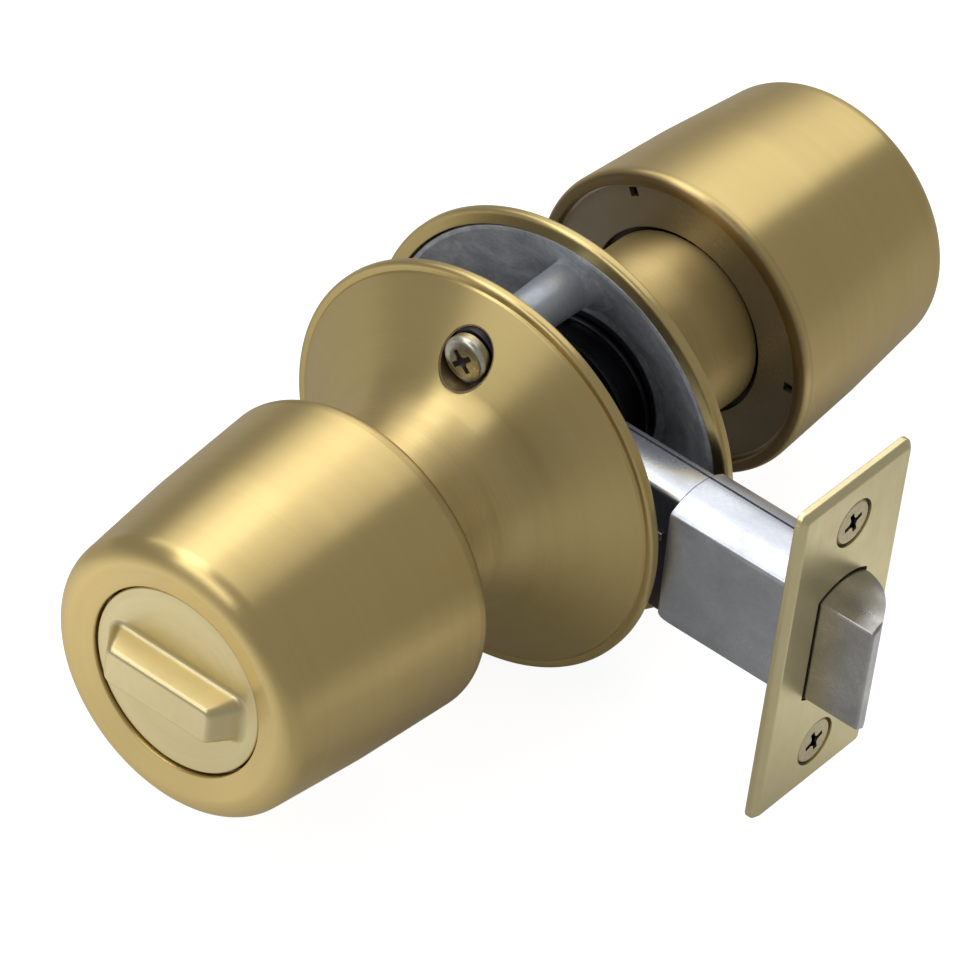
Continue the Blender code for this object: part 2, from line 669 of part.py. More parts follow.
def make_face_blank(parts):
    """The plain disc round the release in the outside knob's face."""
    back = TURN_FACE - TURN_WALL
    inner = RELEASE_RADIUS + HOLE_GAP
    blank = turned("outside_face_disc", [(TURN_DISC, TURN_FACE), (TURN_DISC, back), (inner, back),
                                         (inner, TURN_FACE)], parts)
    blank.matrix_world = facing(OUTSIDE)
    return blank


def crank_start():
    return LOCK_DEPTH + LOCK_WALL + GAP


def crank_arm():
    """Pin radius at which a quarter turn moves the slide by its travel."""
    return LOCK_TRAVEL / math.sqrt(2)


def make_crank(parts, cutters):
    """The small crank on the turn rod, with the pin that drives the locking slide."""
    low = crank_start()
    crank = rod("lock_crank", CRANK_RADIUS, low, low + CRANK_WALL, parts, facing(INSIDE), MID_STEPS)
    offset = crank_arm() / math.sqrt(2)
    pin = rod("crank_pin", CRANK_PIN, LOCK_DEPTH + GAP, low + CRANK_WALL / 2, cutters, facing(INSIDE),
              at=(offset, -offset))
    cut(crank, hide_cutter(pin), "UNION")
    square_hole(crank, "crank_socket", ROD / 2 + GAP, low - CUT_OVERRUN, low + CRANK_WALL + CUT_OVERRUN, cutters,
                facing(INSIDE))
    return crank


def make_lock_slide(parts):
    """The forked slide that the crank pushes outwards between the chassis lugs."""
    clear = ROD / 2 * math.sqrt(2) + GAP
    arm = crank_arm() / math.sqrt(2)
    slot = CRANK_PIN + GAP
    slot_end = crank_arm() + CRANK_PIN + GAP
    stem = LOCK_WIDTH / 2
    foot = -arm - slot - LOCK_RAIL
    shoulder = clear + LOCK_RAIL
    left = -clear - LOCK_RAIL
    right = slot_end + LOCK_RAIL / 2
    outline = [
        (-stem, LOCK_TIP), (-stem, shoulder), (left, shoulder), (left, foot), (-clear, foot),
        (-clear, clear), (clear, clear), (clear, -arm + slot), (slot_end, -arm + slot),
        (slot_end, -arm - slot), (clear, -arm - slot), (clear, foot), (right, foot),
        (right, shoulder), (stem, shoulder), (stem, LOCK_TIP),
    ]
    return plate("lock_slide", outline, LOCK_DEPTH, LOCK_DEPTH + LOCK_WALL, parts, facing(INSIDE))


def make_spindle(parts, cutters):
    half = SPINDLE / 2
    spindle = box("spindle", (-half, -SPINDLE_NEAR, -half), (half, SPINDLE_FAR, half), parts)
    bore = rod("spindle_bore", SPINDLE_BORE, -SPINDLE_NEAR - CUT_OVERRUN, SPINDLE_FAR + CUT_OVERRUN, cutters,
               facing(OUTSIDE))
    cut(spindle, hide_cutter(bore))
    return spindle


def make_through_screw(name, height, parts, cutters):
    """A pan-head machine screw from the inside rose into a post of the outside chassis."""
    head_low = SEAT_DEPTH + GAP
    head_high = head_low + SCREW_HEAD_DEPTH
    tip = chassis_depth(SCREW_OFFSET + POST_TIP) - POST_END_GAP - SCREW_REACH
    points = rounded([(0, head_high, 0, 0), (SCREW_HEAD, head_high - 0.3, 1.1, 3), (SCREW_HEAD, head_low, 0, 0),
                      (SCREW_SHANK, head_low, 0, 0), (SCREW_SHANK, tip, 0, 0), (0, tip, 0, 0)])
    screw = turned(name, points, parts, steps=SMALL_STEPS, closed=False)
    screw.matrix_world = Matrix.Translation((0, 0, height * MM)) @ facing(INSIDE)
    for label, turn in (("a", 45), ("b", -45)):
        slot = box(f"{name}_slot_{label}", (-1.9, -0.4, head_high - 1.2), (1.9, 0.4, head_high + 1), cutters,
                   screw.matrix_world @ Matrix.Rotation(math.radians(turn), 4, "Z"))
        cut(screw, hide_cutter(slot))
    return screw


def make_plate_screw(name, height, parts, cutters):
    """A short countersunk screw through the faceplate."""
    top = BACKSET - PLATE_SCREW_SINK
    edge = top - PLATE_SCREW_EDGE
    neck = edge - (PLATE_SCREW_HEAD - PLATE_SCREW_SHANK)
    end = top - PLATE_SCREW_LENGTH
    points = [(0, top), (PLATE_SCREW_HEAD, top), (PLATE_SCREW_HEAD, edge), (PLATE_SCREW_SHANK, neck),
              (PLATE_SCREW_SHANK, end), (0, end)]
    screw = turned(name, points, parts, steps=SMALL_STEPS, closed=False)
    screw.matrix_world = Matrix.Translation((0, 0, height * MM)) @ along_x()
    for label, turn in (("a", 20), ("b", -70)):
        slot = box(f"{name}_slot_{label}", (-1.9, -0.4, top - 1.2), (1.9, 0.4, top + 1), cutters,
                   screw.matrix_world @ Matrix.Rotation(math.radians(turn), 4, "Z"))
        cut(screw, hide_cutter(slot))
    return screw


def make_faceplate(parts, cutters):
    """The faceplate, with its bevelled edge, bolt opening and countersunk holes."""
    low = BACKSET - PLATE_WALL
    face = box("faceplate", (low, -PLATE_WIDTH / 2, -PLATE_HEIGHT / 2),
               (BACKSET, PLATE_WIDTH / 2, PLATE_HEIGHT / 2), parts)
    front_edges = face.data.attributes.new("bevel_weight_edge", "FLOAT", "EDGE")
    for edge in face.data.edges:
        ends = [face.data.vertices[index].co.x for index in edge.vertices]
        front_edges.data[edge.index].value = 1.0 if min(ends) > (BACKSET - 0.1) * MM else 0.0
    bevel = face.modifiers.new("edge", "BEVEL")
    bevel.limit_method = "WEIGHT"
    bevel.width = PLATE_BEVEL * MM
    bevel.segments = 2
    opening = latch_bar("bolt_opening", CASE_HALF - CASE_WALL, CASE_RADIUS - CASE_WALL, low - CUT_OVERRUN,
                        BACKSET + CUT_OVERRUN, cutters)
    cut(face, hide_cutter(opening))
    for label, height in (("upper", PLATE_SCREW_SPACING / 2), ("lower", -PLATE_SCREW_SPACING / 2)):
        edge = BACKSET - PLATE_SCREW_SINK - PLATE_SCREW_EDGE
        neck = edge - (PLATE_SCREW_HEAD - PLATE_SCREW_SHANK)
        head = PLATE_SCREW_HEAD + GAP
        shaft = PLATE_SCREW_SHANK + GAP
        points = [(0, BACKSET + CUT_OVERRUN), (head, BACKSET + CUT_OVERRUN), (head, edge), (shaft, neck),
                  (shaft, neck - PLATE_WALL), (0, neck - PLATE_WALL)]
        sink = turned(f"plate_sink_{label}", points, cutters, steps=MID_STEPS, closed=False)
        sink.matrix_world = Matrix.Translation((0, 0, height * MM)) @ along_x()
        cut(face, hide_cutter(sink))
    return face


def cut_seam(target, name, low, high, cutters):
    """Opens the seam where the bent sheet meets along the latch's top."""
    seam = box(name, (low, SEAM_SHIFT - CASE_SEAM / 2, HOUSING_HALF),
               (high, SEAM_SHIFT + CASE_SEAM / 2, CASE_RADIUS + CUT_OVERRUN), cutters)
    return cut(target, hide_cutter(seam))


def make_case(parts, cutters):
    """The latch's front tube, with flat sides and arched top and bottom."""
    case = latch_bar("latch_case", CASE_HALF, CASE_RADIUS, CASE_REAR, CASE_FRONT, parts)
    inside = latch_bar("case_inside", CASE_HALF - CASE_WALL, CASE_RADIUS - CASE_WALL, CASE_REAR - CUT_OVERRUN,
                       CASE_FRONT + CUT_OVERRUN, cutters)
    cut(case, hide_cutter(inside))
    return cut_seam(case, "case_seam", CASE_REAR - CUT_OVERRUN, CASE_FRONT + CUT_OVERRUN, cutters)


def make_housing(parts, cutters):
    """The narrower rear of the latch, closed behind, that the hub turns in."""
    front = CASE_REAR - GAP
    housing = latch_bar("hub_housing", HOUSING_HALF, CASE_RADIUS, HOUSING_REAR, front, parts)
    inside = latch_bar("housing_inside", HOUSING_HALF - HOUSING_WALL, CASE_RADIUS - HOUSING_WALL,
                       HOUSING_REAR + HOUSING_WALL, front + CUT_OVERRUN, cutters)
    cut(housing, hide_cutter(inside))
    reach = HOUSING_HALF + CUT_OVERRUN
    journal = rod("hub_journal_hole", HUB_RADIUS + GAP, -reach, reach, cutters, facing(OUTSIDE), MID_STEPS)
    cut(housing, hide_cutter(journal))
    tab_front = front - TAB_SET
    tab = box("housing_tab", (tab_front - TAB_LENGTH, -HOUSING_HALF - TAB_STAND, TAB_RISE - TAB_HEIGHT / 2),
              (tab_front, -HOUSING_HALF + HOUSING_WALL / 2, TAB_RISE + TAB_HEIGHT / 2), cutters)
    cut(housing, hide_cutter(tab), "UNION")
    return cut_seam(housing, "housing_seam", HUB_RADIUS + CUT_OVERRUN, front + CUT_OVERRUN, cutters)


def make_hub(parts, cutters):
    """The cam that the spindle turns, with two lobes that push the fork's lugs."""
    hub = rod("latch_hub", HUB_RADIUS, -HOUSING_HALF, HOUSING_HALF, parts, facing(OUTSIDE), MID_STEPS)
    lean = math.radians(KNOB_SWING / 2)
    for label, sign in (("upper", 1), ("lower", -1)):
        tip = Vector((HUB_LOBE_RADIUS * math.sin(lean), sign * HUB_LOBE_RADIUS * math.cos(lean)))
        across = Vector((-tip.y, tip.x)).normalized() * HUB_LOBE_TIP
        root = tip.normalized() * HUB_RADIUS * 0.6
        arc = []
        start = math.atan2(across.y, across.x)
        for step in range(7):
            angle = start - math.pi * step / 6
            arc.append((tip.x + HUB_LOBE_TIP * math.cos(angle), tip.y + HUB_LOBE_TIP * math.sin(angle)))
        base = across * 1.15
        outline = [(root.x + base.x, root.y + base.y), *arc, (root.x - base.x, root.y - base.y)]
        lobe = plate(f"hub_lobe_{label}", [(x, -z) for x, z in outline], -HUB_LOBE_HALF, HUB_LOBE_HALF,
                     cutters, facing(OUTSIDE))
        cut(hub, hide_cutter(lobe), "UNION")
    reach = HOUSING_HALF + CUT_OVERRUN
    square_hole(hub, "hub_square", SPINDLE / 2 + GAP, -reach, reach, cutters, facing(OUTSIDE))
    return hub


def make_bolt(parts, cutters):
    """The spring bolt: latch section, a slanted face on its far side and a slot for the tail."""
    half = CASE_HALF - CASE_WALL - GAP
    radius = CASE_RADIUS - CASE_WALL - GAP
    tip = BACKSET + BOLT_PROUD
    bolt = latch_bar("latch_bolt", half, radius, BOLT_REAR, tip, parts)
    reach = 2 * radius
    land = BOLT_LAND - half
    heel = BACKSET + BOLT_HEEL
    across = Vector((tip - heel, land - half))
    outwards = Vector((half - land, tip - heel)).normalized()
    crown = []
    for step in range(BOLT_CROWN_STEPS + 1):
        share = step / BOLT_CROWN_STEPS
        crown.append(Vector((heel, half)) + across * share + outwards * (4 * BOLT_CROWN * share * (1 - share)))
    slant = plate("bolt_slant", [(tip + CUT_OVERRUN, land), (tip + CUT_OVERRUN, 2 * half), (heel, 2 * half),
                                 *[(point.x, point.y) for point in crown]], -reach, reach, cutters)
    cut(bolt, hide_cutter(slant))
    slot = box("bolt_slot", (BOLT_REAR - CUT_OVERRUN, -STEM_HALF_WIDTH - GAP, -STEM_HALF_HEIGHT - GAP),
               (BACKSET - PLATE_WALL, STEM_HALF_WIDTH + GAP, STEM_HALF_HEIGHT + GAP), cutters)
    cut(bolt, hide_cutter(slot))
    hole = rod("bolt_pin_hole", TAIL_PIN + GAP, -half - CUT_OVERRUN, half + CUT_OVERRUN, cutters,
               Matrix.Translation((tail_pin_x() * MM, 0, 0)) @ facing(OUTSIDE))
    return cut(bolt, hide_cutter(hole))


def tail_pin_x():
    return (BOLT_REAR + BACKSET - PLATE_WALL) / 2


def make_tail(parts, cutters):
    """The bolt's tail: a stem through the spring, and a fork whose lugs hook behind the hub's lobes."""
    web_end = WEB_START + FORK_WEB
    stem_end = BACKSET - PLATE_WALL - GAP
    mouth = HUB_RADIUS + BOLT_THROW + 2 * GAP
    tail = box("bolt_tail", (LUG_BACK, -FORK_OUTER, -FORK_HALF), (web_end, FORK_OUTER, FORK_HALF), parts)
    pocket = box("fork_pocket", (LUG_FRONT, -FORK_INNER, -FORK_HALF - CUT_OVERRUN),
                 (WEB_START, FORK_INNER, FORK_HALF + CUT_OVERRUN), cutters)
    cut(tail, hide_cutter(pocket))
    throat = box("fork_mouth", (LUG_BACK - CUT_OVERRUN, -FORK_OUTER - CUT_OVERRUN, -FORK_THROAT),
                 (mouth, FORK_OUTER + CUT_OVERRUN, FORK_THROAT), cutters)
    cut(tail, hide_cutter(throat))
    stem = box("tail_stem", (web_end - FORK_WEB / 2, -STEM_HALF_WIDTH, -STEM_HALF_HEIGHT),
               (stem_end, STEM_HALF_WIDTH, STEM_HALF_HEIGHT), cutters)
    cut(tail, hide_cutter(stem), "UNION")
    reach = STEM_HALF_WIDTH + CUT_OVERRUN
    hole = rod("tail_pin_hole", TAIL_PIN + GAP, -reach, reach, cutters,
               Matrix.Translation((tail_pin_x() * MM, 0, 0)) @ facing(OUTSIDE))
    return cut(tail, hide_cutter(hole))


def make_tail_pin(parts):
    half = CASE_HALF - CASE_WALL - GAP
    return rod("tail_pin", TAIL_PIN, -half, half, parts,
               Matrix.Translation((tail_pin_x() * MM, 0, 0)) @ facing(OUTSIDE))


def make_stop(parts, cutters):
    """The plate in the case's rear that the bolt spring pushes against."""
    low = CASE_REAR + GAP
    stop = latch_bar("spring_stop", CASE_HALF - CASE_WALL - GAP, CASE_RADIUS - CASE_WALL - GAP, low,
                     low + STOP_WALL, parts)
    hole = box("stop_hole", (low - CUT_OVERRUN, -STEM_HALF_WIDTH - GAP, -STEM_HALF_HEIGHT - GAP),
               (low + STOP_WALL + CUT_OVERRUN, STEM_HALF_WIDTH + GAP, STEM_HALF_HEIGHT + GAP), cutters)
    return cut(stop, hide_cutter(hole))


def make_bolt_spring(parts):
    start = CASE_REAR + GAP + STOP_WALL + GAP + BOLT_SPRING_WIRE
    end = BOLT_REAR - GAP - BOLT_SPRING_WIRE
    return coil("bolt_spring", BOLT_SPRING_RADIUS, BOLT_SPRING_WIRE, BOLT_SPRING_TURNS, start,
                (end - start) / BOLT_SPRING_TURNS, parts, along_x())


def build_side(side, parts, cutters):
    """The rose, chassis and knob pieces of one side."""
    word = "inside" if side == INSIDE else "outside"
    return {
        "rose": [make_rose(f"{word}_rose", side, parts, cutters)],
        "zinc": [make_chassis(f"{word}_chassis", side, parts, cutters),
                 make_shank(f"{word}_shank", side, parts, cutters),
                 make_cup(f"{word}_face_cup", side, parts)],
        "knob": [make_knob_shell(f"{word}_knob_shell", side, parts)],
        "disc": [make_back_disc(f"{word}_back_disc", side, parts, cutters)],
        "spring": [make_retaining_ring(f"{word}_retaining_ring", side, parts, cutters),
                   make_return_spring(f"{word}_return_spring", side, parts)],
    }


def build_latch(parts, cutters):
    return {
        "faceplate": [make_faceplate(parts, cutters)],
        "case": [make_case(parts, cutters), make_housing(parts, cutters), make_stop(parts, cutters),
                 make_tail(parts, cutters)],
        "zinc": [make_bolt(parts, cutters), make_hub(parts, cutters)],
        "spring": [make_bolt_spring(parts), make_tail_pin(parts)],
        "screw": [make_plate_screw("upper_plate_screw", PLATE_SCREW_SPACING / 2, parts, cutters),
                  make_plate_screw("lower_plate_screw", -PLATE_SCREW_SPACING / 2, parts, cutters)],
    }


def build_lock(parts, cutters):
    return {
        "turn": [make_thumb_turn(parts, cutters), make_release(parts, cutters), make_face_blank(parts)],
        "spring": [make_turn_rod(parts), make_crank(parts, cutters), make_lock_slide(parts),
                   make_spindle(parts, cutters)],
        "screw": [make_through_screw("upper_through_screw", SCREW_OFFSET, parts, cutters),
                  make_through_screw("lower_through_screw", -SCREW_OFFSET, parts, cutters)],
    }


FINISHES = {
    "rose": (BRASS, 0.34), "knob": (BRASS, 0.32), "disc": (BRASS, 0.25), "turn": (PALE_BRASS, 0.42),
    "faceplate": (PALE_BRASS, 0.36), "zinc": (ZINC, 0.5), "case": (STEEL, 0.3), "spring": (DARK_STEEL, 0.4),
    "screw": (STEEL, 0.3),
}


def main():
    for obj in list(bpy.data.objects):
        bpy.data.objects.remove(obj, do_unlink=True)
    parts = new_collection("tubular_lock")
    cutters = new_collection("cutters")
    groups = [build_side(INSIDE, parts, cutters), build_side(OUTSIDE, parts, cutters),
              build_lock(parts, cutters), build_latch(parts, cutters)]
    for group in groups:
        for finish, pieces in group.items():
            colour, roughness = FINISHES[finish]
            for piece in pieces:
                piece.data.materials.append(finish_material(f"{piece.name}_finish", colour, roughness))
                if piece.type == "MESH":
                    piece.data.shade_smooth()
                    piece.data.set_sharp_from_angle(angle=math.radians(35))


main()
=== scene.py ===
"""Looks of a tubular privacy lock: two brass knobs on flared roses, and a spring latch with its faceplate.

Sizes are in millimetres in the frame of the solids: the knob axis is Y, the latch runs along +X, +Z is up.
Every piece is a surface worked out as a whole on a grid of two parameters. One parameter runs along a rounded
line, and the other round the axis, round an outline or along a coil. Holes and slots are cut with Booleans.
"""
import math

import bpy
import numpy as np
from mathutils import Matrix, Vector


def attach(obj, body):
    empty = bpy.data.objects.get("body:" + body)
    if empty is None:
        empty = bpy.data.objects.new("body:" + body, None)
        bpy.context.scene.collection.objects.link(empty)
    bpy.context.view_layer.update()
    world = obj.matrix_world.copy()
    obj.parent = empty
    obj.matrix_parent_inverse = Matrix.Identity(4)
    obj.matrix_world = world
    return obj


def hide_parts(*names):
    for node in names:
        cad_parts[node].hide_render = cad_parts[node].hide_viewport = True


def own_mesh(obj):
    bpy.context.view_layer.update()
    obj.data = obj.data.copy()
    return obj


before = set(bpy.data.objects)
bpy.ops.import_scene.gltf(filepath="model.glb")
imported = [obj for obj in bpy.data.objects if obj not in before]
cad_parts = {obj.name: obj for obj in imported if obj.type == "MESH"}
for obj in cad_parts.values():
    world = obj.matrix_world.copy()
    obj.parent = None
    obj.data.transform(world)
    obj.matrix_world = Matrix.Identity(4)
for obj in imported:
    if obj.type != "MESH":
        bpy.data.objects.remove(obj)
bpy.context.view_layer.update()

MM = 0.001
INSIDE = -1
OUTSIDE = 1
TURN_STEPS = 192         # points round a turned piece
MID_TURN_STEPS = 96      # points round the release and the housing's journal
SMALL_TURN_STEPS = 64    # points round a screw or pin
ARC_STEP = math.radians(9)
ARC_LEAST_STEPS = 3
ARC_LEAST_REACH = 1e-6   # a corner that takes less of its sides than this stays sharp
PAD_MOST = 0.3           # where a flat gets its extra point, from the end of an arc
PAD_SHARE = 0.2
PAD_LEAST = 0.01
SHARP_EDGE = math.radians(34)
AXIS = 0.02              # radius at which a turned piece is closed on its axis

# Lines of the turned pieces: (radius, distance outwards along the knob axis, rounding)
ROSE_LINE = [
    (14.4, 38.3, 0.25), (14.4, 20.955, 14.0), (30.95, 9.78, 0.25), (31.2, 9.42, 0.12), (32.5, 9.6, 0.62),
    (32.5, 7.7, 0.65), (30.2, 7.7, 0.15), (30.2, 8.4, 0.1), (31.8, 8.4, 0.1), (31.8, 8.9, 0.1),
    (30.7, 9.11, 0.1), (13.7, 20.58, 14.7), (13.7, 38.3, 0.15),
]
KNOB_LINE = [
    (14.85, 74.2, 0.3), (18.5, 75.0, 2.4), (21.7, 74.7, 3.2), (23.65, 55.5, 60.0), (24.9, 36.0, 1.5),
    (22.6, 36.0, 0.4), (22.6, 37.2, 0.3), (23.7, 37.2, 0.7), (22.45, 55.5, 60.0), (20.5, 73.5, 2.2),
    (18.5, 73.8, 0.8), (14.85, 72.8, 0.2),
]
BACK_DISC_LINE = [(15.2, 37.5, 0.15), (23.1, 37.5, 0.15), (23.1, 38.5, 0.15), (15.2, 38.5, 0.15)]
SHANK_LINE = [
    (AXIS, 6.0, 0.0), (11.5, 6.0, 0.4), (11.5, 8.5, 0.1), (10.9, 8.5, 0.1), (10.9, 10.0, 0.1),
    (11.5, 10.0, 0.1), (11.5, 38.8, 0.3), (22.5, 38.8, 0.2), (22.5, 40.8, 0.2), (9.9, 40.8, 0.2),
    (9.9, 8.0, 0.4), (AXIS, 8.0, 0.0),
]
RING_LINE = [(11.2, 8.8, 0.1), (13.6, 8.8, 0.2), (13.6, 9.7, 0.2), (11.2, 9.7, 0.1)]
CUP_LINE = [
    (16.6, 72.7, 0.3), (16.6, 70.1, 0.5), (4.35, 70.1, 0.1), (4.35, 71.3, 0.1), (14.7, 71.3, 0.4),
    (14.7, 72.7, 0.3),
]
TURN_LINE = [
    (AXIS, 66.0, 0.0), (4.0, 66.0, 0.3), (4.0, 71.6, 0.2), (14.55, 71.6, 0.3), (14.55, 73.8, 0.3),
    (AXIS, 73.8, 0.0),
]
FACE_DISC_LINE = [(4.95, 71.6, 0.1), (14.55, 71.6, 0.3), (14.55, 73.8, 0.3), (4.95, 73.8, 0.2)]
RELEASE_LINE = [
    (AXIS, 66.0, 0.0), (4.0, 66.0, 0.3), (4.0, 71.6, 0.2), (4.6, 71.6, 0.1), (4.6, 73.8, 0.35),
    (AXIS, 73.8, 0.0),
]
CHASSIS_LINE = [
    (11.8, 23.08, 0.3), (12.9, 23.08, 0.3), (12.9, 17.78, 0.5), (16.0, 17.78, 2.0), (29.85, 8.7, 0.2),
    (29.85, 8.0, 0.2), (29.15, 8.0, 0.2), (14.8, 15.88, 0.4), (14.8, 16.38, 0.2), (11.8, 16.38, 0.3),
]
POST_LINE = [(AXIS, -8.2, 0.0), (3.45, -8.2, 0.5), (3.85, 10.6, 2.4), (6.2, 12.6, 0.0), (AXIS, 12.8, 0.0)]
POST_BORE_LINE = [(AXIS, -9.2, 0.0), (2.65, -9.2, 0.0), (2.25, -7.8, 0.0), (2.25, 5.0, 0.0), (AXIS, 5.0, 0.0)]
POST_TRIM_LINE = [
    (29.85, 8.72, 0.0), (40.0, 8.72, 0.0), (40.0, 30.0, 0.0), (16.0, 30.0, 0.0), (16.0, 17.8, 0.0),
]
SEAT_LINE = [(2.25, 11.0, 0.2), (3.9, 11.0, 0.2), (3.9, 13.18, 0.2), (2.25, 13.18, 0.2)]
SEAT_CUT_LINE = [(AXIS, 13.18, 0.0), (4.2, 13.18, 0.0), (4.2, 24.0, 0.0), (AXIS, 24.0, 0.0)]
SEAT_BORE_LINE = [(AXIS, 5.0, 0.0), (2.25, 5.0, 0.0), (2.25, 24.0, 0.0), (AXIS, 24.0, 0.0)]
POCKET_LINE = [(AXIS, 5.0, 0.0), (4.2, 5.0, 0.0), (4.2, 24.0, 0.0), (AXIS, 24.0, 0.0)]
POCKET_WALL_LINE = [(4.17, -2.6, 0.0), (4.17, -0.12, 0.0), (3.95, -0.12, 0.0), (3.95, -2.6, 0.0)]
SCREW_LINE = [
    (AXIS, 15.8, 0.0), (2.2, 15.72, 2.0), (3.3, 15.5, 0.7), (3.62, 14.9, 0.3), (3.55, 13.48, 0.15),
    (1.9, 13.48, 0.2), (1.9, -2.3, 0.2), (1.5, -2.7, 0.1), (AXIS, -2.7, 0.0),
]
PLATE_SCREW_LINE = [
    (AXIS, 57.9, 0.0), (3.4, 57.86, 0.3), (3.65, 57.5, 0.1), (2.0, 55.8, 0.2), (2.0, 53.05, 0.2),
    (AXIS, 53.0, 0.0),
]
# A black disc in the gap round a faceplate screw's head: painted shadow
PLATE_GAP_SHADE_LINE = [(AXIS, 56.9, 0.0), (3.96, 56.9, 0.0), (3.96, 57.5, 0.0), (AXIS, 57.5, 0.0)]
PLATE_SINK_LINE = [
    (AXIS, 59.0, 0.0), (3.95, 59.0, 0.0), (3.95, 56.7, 0.0), (2.3, 55.0, 0.0), (2.3, 53.0, 0.0),
    (AXIS, 53.0, 0.0),
]

# Places and sizes beside those lines
SCREW_OFFSET = 23.4
PLATE_SCREW_OFFSET = 20.65
NOTCH_COUNT = 3
NOTCH_RADIUS = 20.9
NOTCH = 1.5
NOTCH_CUT = (36.5, 39.5)  # depths between which a notch is cut
RING_GAP = 3.2
SHANK_SQUARE = 8.2
SHANK_SQUARE_CUT = (5.0, 9.0)
COIL_RADIUS = 12.425
COIL_WIRE = 0.45
COIL_START = 13.85
COIL_END = 15.53
COIL_TURNS = 1.7
BOLT_COIL_RADIUS = 4.51
BOLT_COIL_WIRE = 0.42
BOLT_COIL_START = 34.22
BOLT_COIL_END = 50.28
BOLT_COIL_TURNS = 7.0
COIL_ROUND_STEPS = 14
COIL_STEPS = 64          # points along one turn
COIL_REST = 0.06         # share of a coil that lies flat at each end
CROSS_ARM = 1.9
CROSS_HALF = 0.42
CROSS_DEPTH = 1.5
CROSS_OVERRUN = 2.0      # how far a cross's cutters stand out of the screw's top
# A dark disc inside each screw head, seen only through its cross: painted shade in the recess
CROSS_SHADE = [(AXIS, 0.0, 0.0), (1.95, 0.0, 0.0), (1.95, 0.3, 0.0), (AXIS, 0.3, 0.0)]
CROSS_SHADE_DEPTH = 0.7   # from the top of a screw to the far side of the dark layer of painted shade in its cross
CROSS_PIT = 0.85         # half width of the square pit in the middle of a cross
PAN_CROSS_SPIN = math.radians(45)
FLAT_CROSS_SPIN = math.radians(20)
RELEASE_SLOT = 1.2
RELEASE_SLOT_REACH = 6.0
RELEASE_SLOT_FLOOR = 72.5
RELEASE_SLOT_TOP = 75.0
GRIP_LINE = [(73.75, -0.9, 0.0), (73.85, 0.05, 0.9), (78.4, 1.0, 0.8), (78.4, 2.2, 0.0)]
GRIP_HALF_LENGTH = 12.2
GRIP_HALF_WIDTH = 3.9
GRIP_CORNER = 2.2
GRIP_END_SLOPE = 0.44    # how much each end leans in for every mm of height

# The latch: half thickness and arch radius, and lines of (x, inset, rounding)
ARCH_MARGIN = math.radians(4)  # left free between an arch's points and its two corners
ARCH_STEPS = 20
CASE_HALF = 6.2
CASE_RADIUS = 11.37
CASE_EDGE = 0.9          # rounding between a flat side and an arch
CASE_LINE = [(32.0, 0.0, 0.08), (55.9, 0.0, 0.2), (55.9, 0.7, 0.15), (32.0, 0.7, 0.15)]
CASE_END_SECTION = np.array([(31.98, 4.1), (32.14, 4.1), (32.14, 5.52), (31.98, 5.52)])
CASE_END_REACH = 9.4     # half height of the strips that close the case's rear beside the housing
CASE_END_STEPS = 60
CASE_CORNER = 2.3        # radius of the case's lower rear corner, seen from the side
SEAM_HALF = 0.25
SEAM_SHIFT = 2.6
SEAM_FLOOR = 5.0
SEAM_OVERRUN = 1.0
HOUSING_SEAM_START = 8.0
TAB_LINE = [(28.4, 0.5, 0.0), (28.4, 0.0, 0.2), (30.3, 0.0, 0.2), (30.3, 0.5, 0.0)]
TAB_HALF = 0.65
TAB_MIDDLE = 3.0
TAB_STAND = 4.8
TAB_SINK = 0.2           # half of how far the tab reaches into the housing's side
TAB_CORNER = 0.25
HOUSING_HALF = 4.2
HOUSING_LINE = [
    (-12.6, 1.2, 0.0), (-12.6, 0.0, 0.5), (31.96, 0.0, 0.04), (31.96, 0.8, 0.04), (-11.8, 0.8, 0.3),
    (-11.8, 1.2, 0.0),
]
JOURNAL_LINE = [(AXIS, -6.0, 0.0), (7.2, -6.0, 0.0), (7.2, 6.0, 0.0), (AXIS, 6.0, 0.0)]
BOLT_HALF = 5.2
BOLT_RADIUS = 10.37
BOLT_EDGE = 0.5
BOLT_LINE = [(51.0, 0.5, 0.0), (51.0, 0.0, 0.25), (67.4, 0.0, 0.45), (67.4, 0.5, 0.0)]
BOLT_LAND = -3.8
BOLT_TIP = 67.4
BOLT_HEEL = 58.6
BOLT_CROWN = 1.35        # how far the slanted face stands out of a straight line
BOLT_CROWN_STEPS = 28
BOLT_CUT_PAST = 2.0      # how far the cutter of the slanted face stands out before the tip
BOLT_CUT_SIDE = 16.0
BOLT_CUT_HEIGHT = 14.0
BOLT_SOCKET_LOW = (50.0, -3.2, -2.5)
BOLT_SOCKET_HIGH = (56.2, 3.2, 2.5)
OPENING_HALF = 5.65
OPENING_RADIUS = 10.8
OPENING_EDGE = 0.5
OPENING_LINE = [(50.0, 0.0, 0.0), (62.0, 0.0, 0.0)]
PLATE_HALF_WIDTH = 12.7
PLATE_HALF_HEIGHT = 28.575
PLATE_CORNER = 1.6
PLATE_LINE = [(56.2, 1.5, 0.0), (56.2, 0.0, 0.15), (57.15, 0.0, 0.5), (58.0, 0.95, 0.6), (58.0, 1.5, 0.0)]

# Patterns: what the grain groups and the masks share, in metres where it is a length
LEAST_RADIUS = 0.0001
RELIEF_STRENGTH = 0.6
MASK_WOBBLE = 0.6        # how far the broad pattern moves a mask's edge, as a share of its width
MASK_MOTTLE_DARKEST = 0.72       # the darkest mottle within a masked place: a real stain, a painted highlight or painted shade
GROOVE_TURN = 0.25       # of a whole turn, from the tangent
LIP_DEPTH = 0.0379
LIP_RADIUS = 0.02455
NECK_START = 0.020

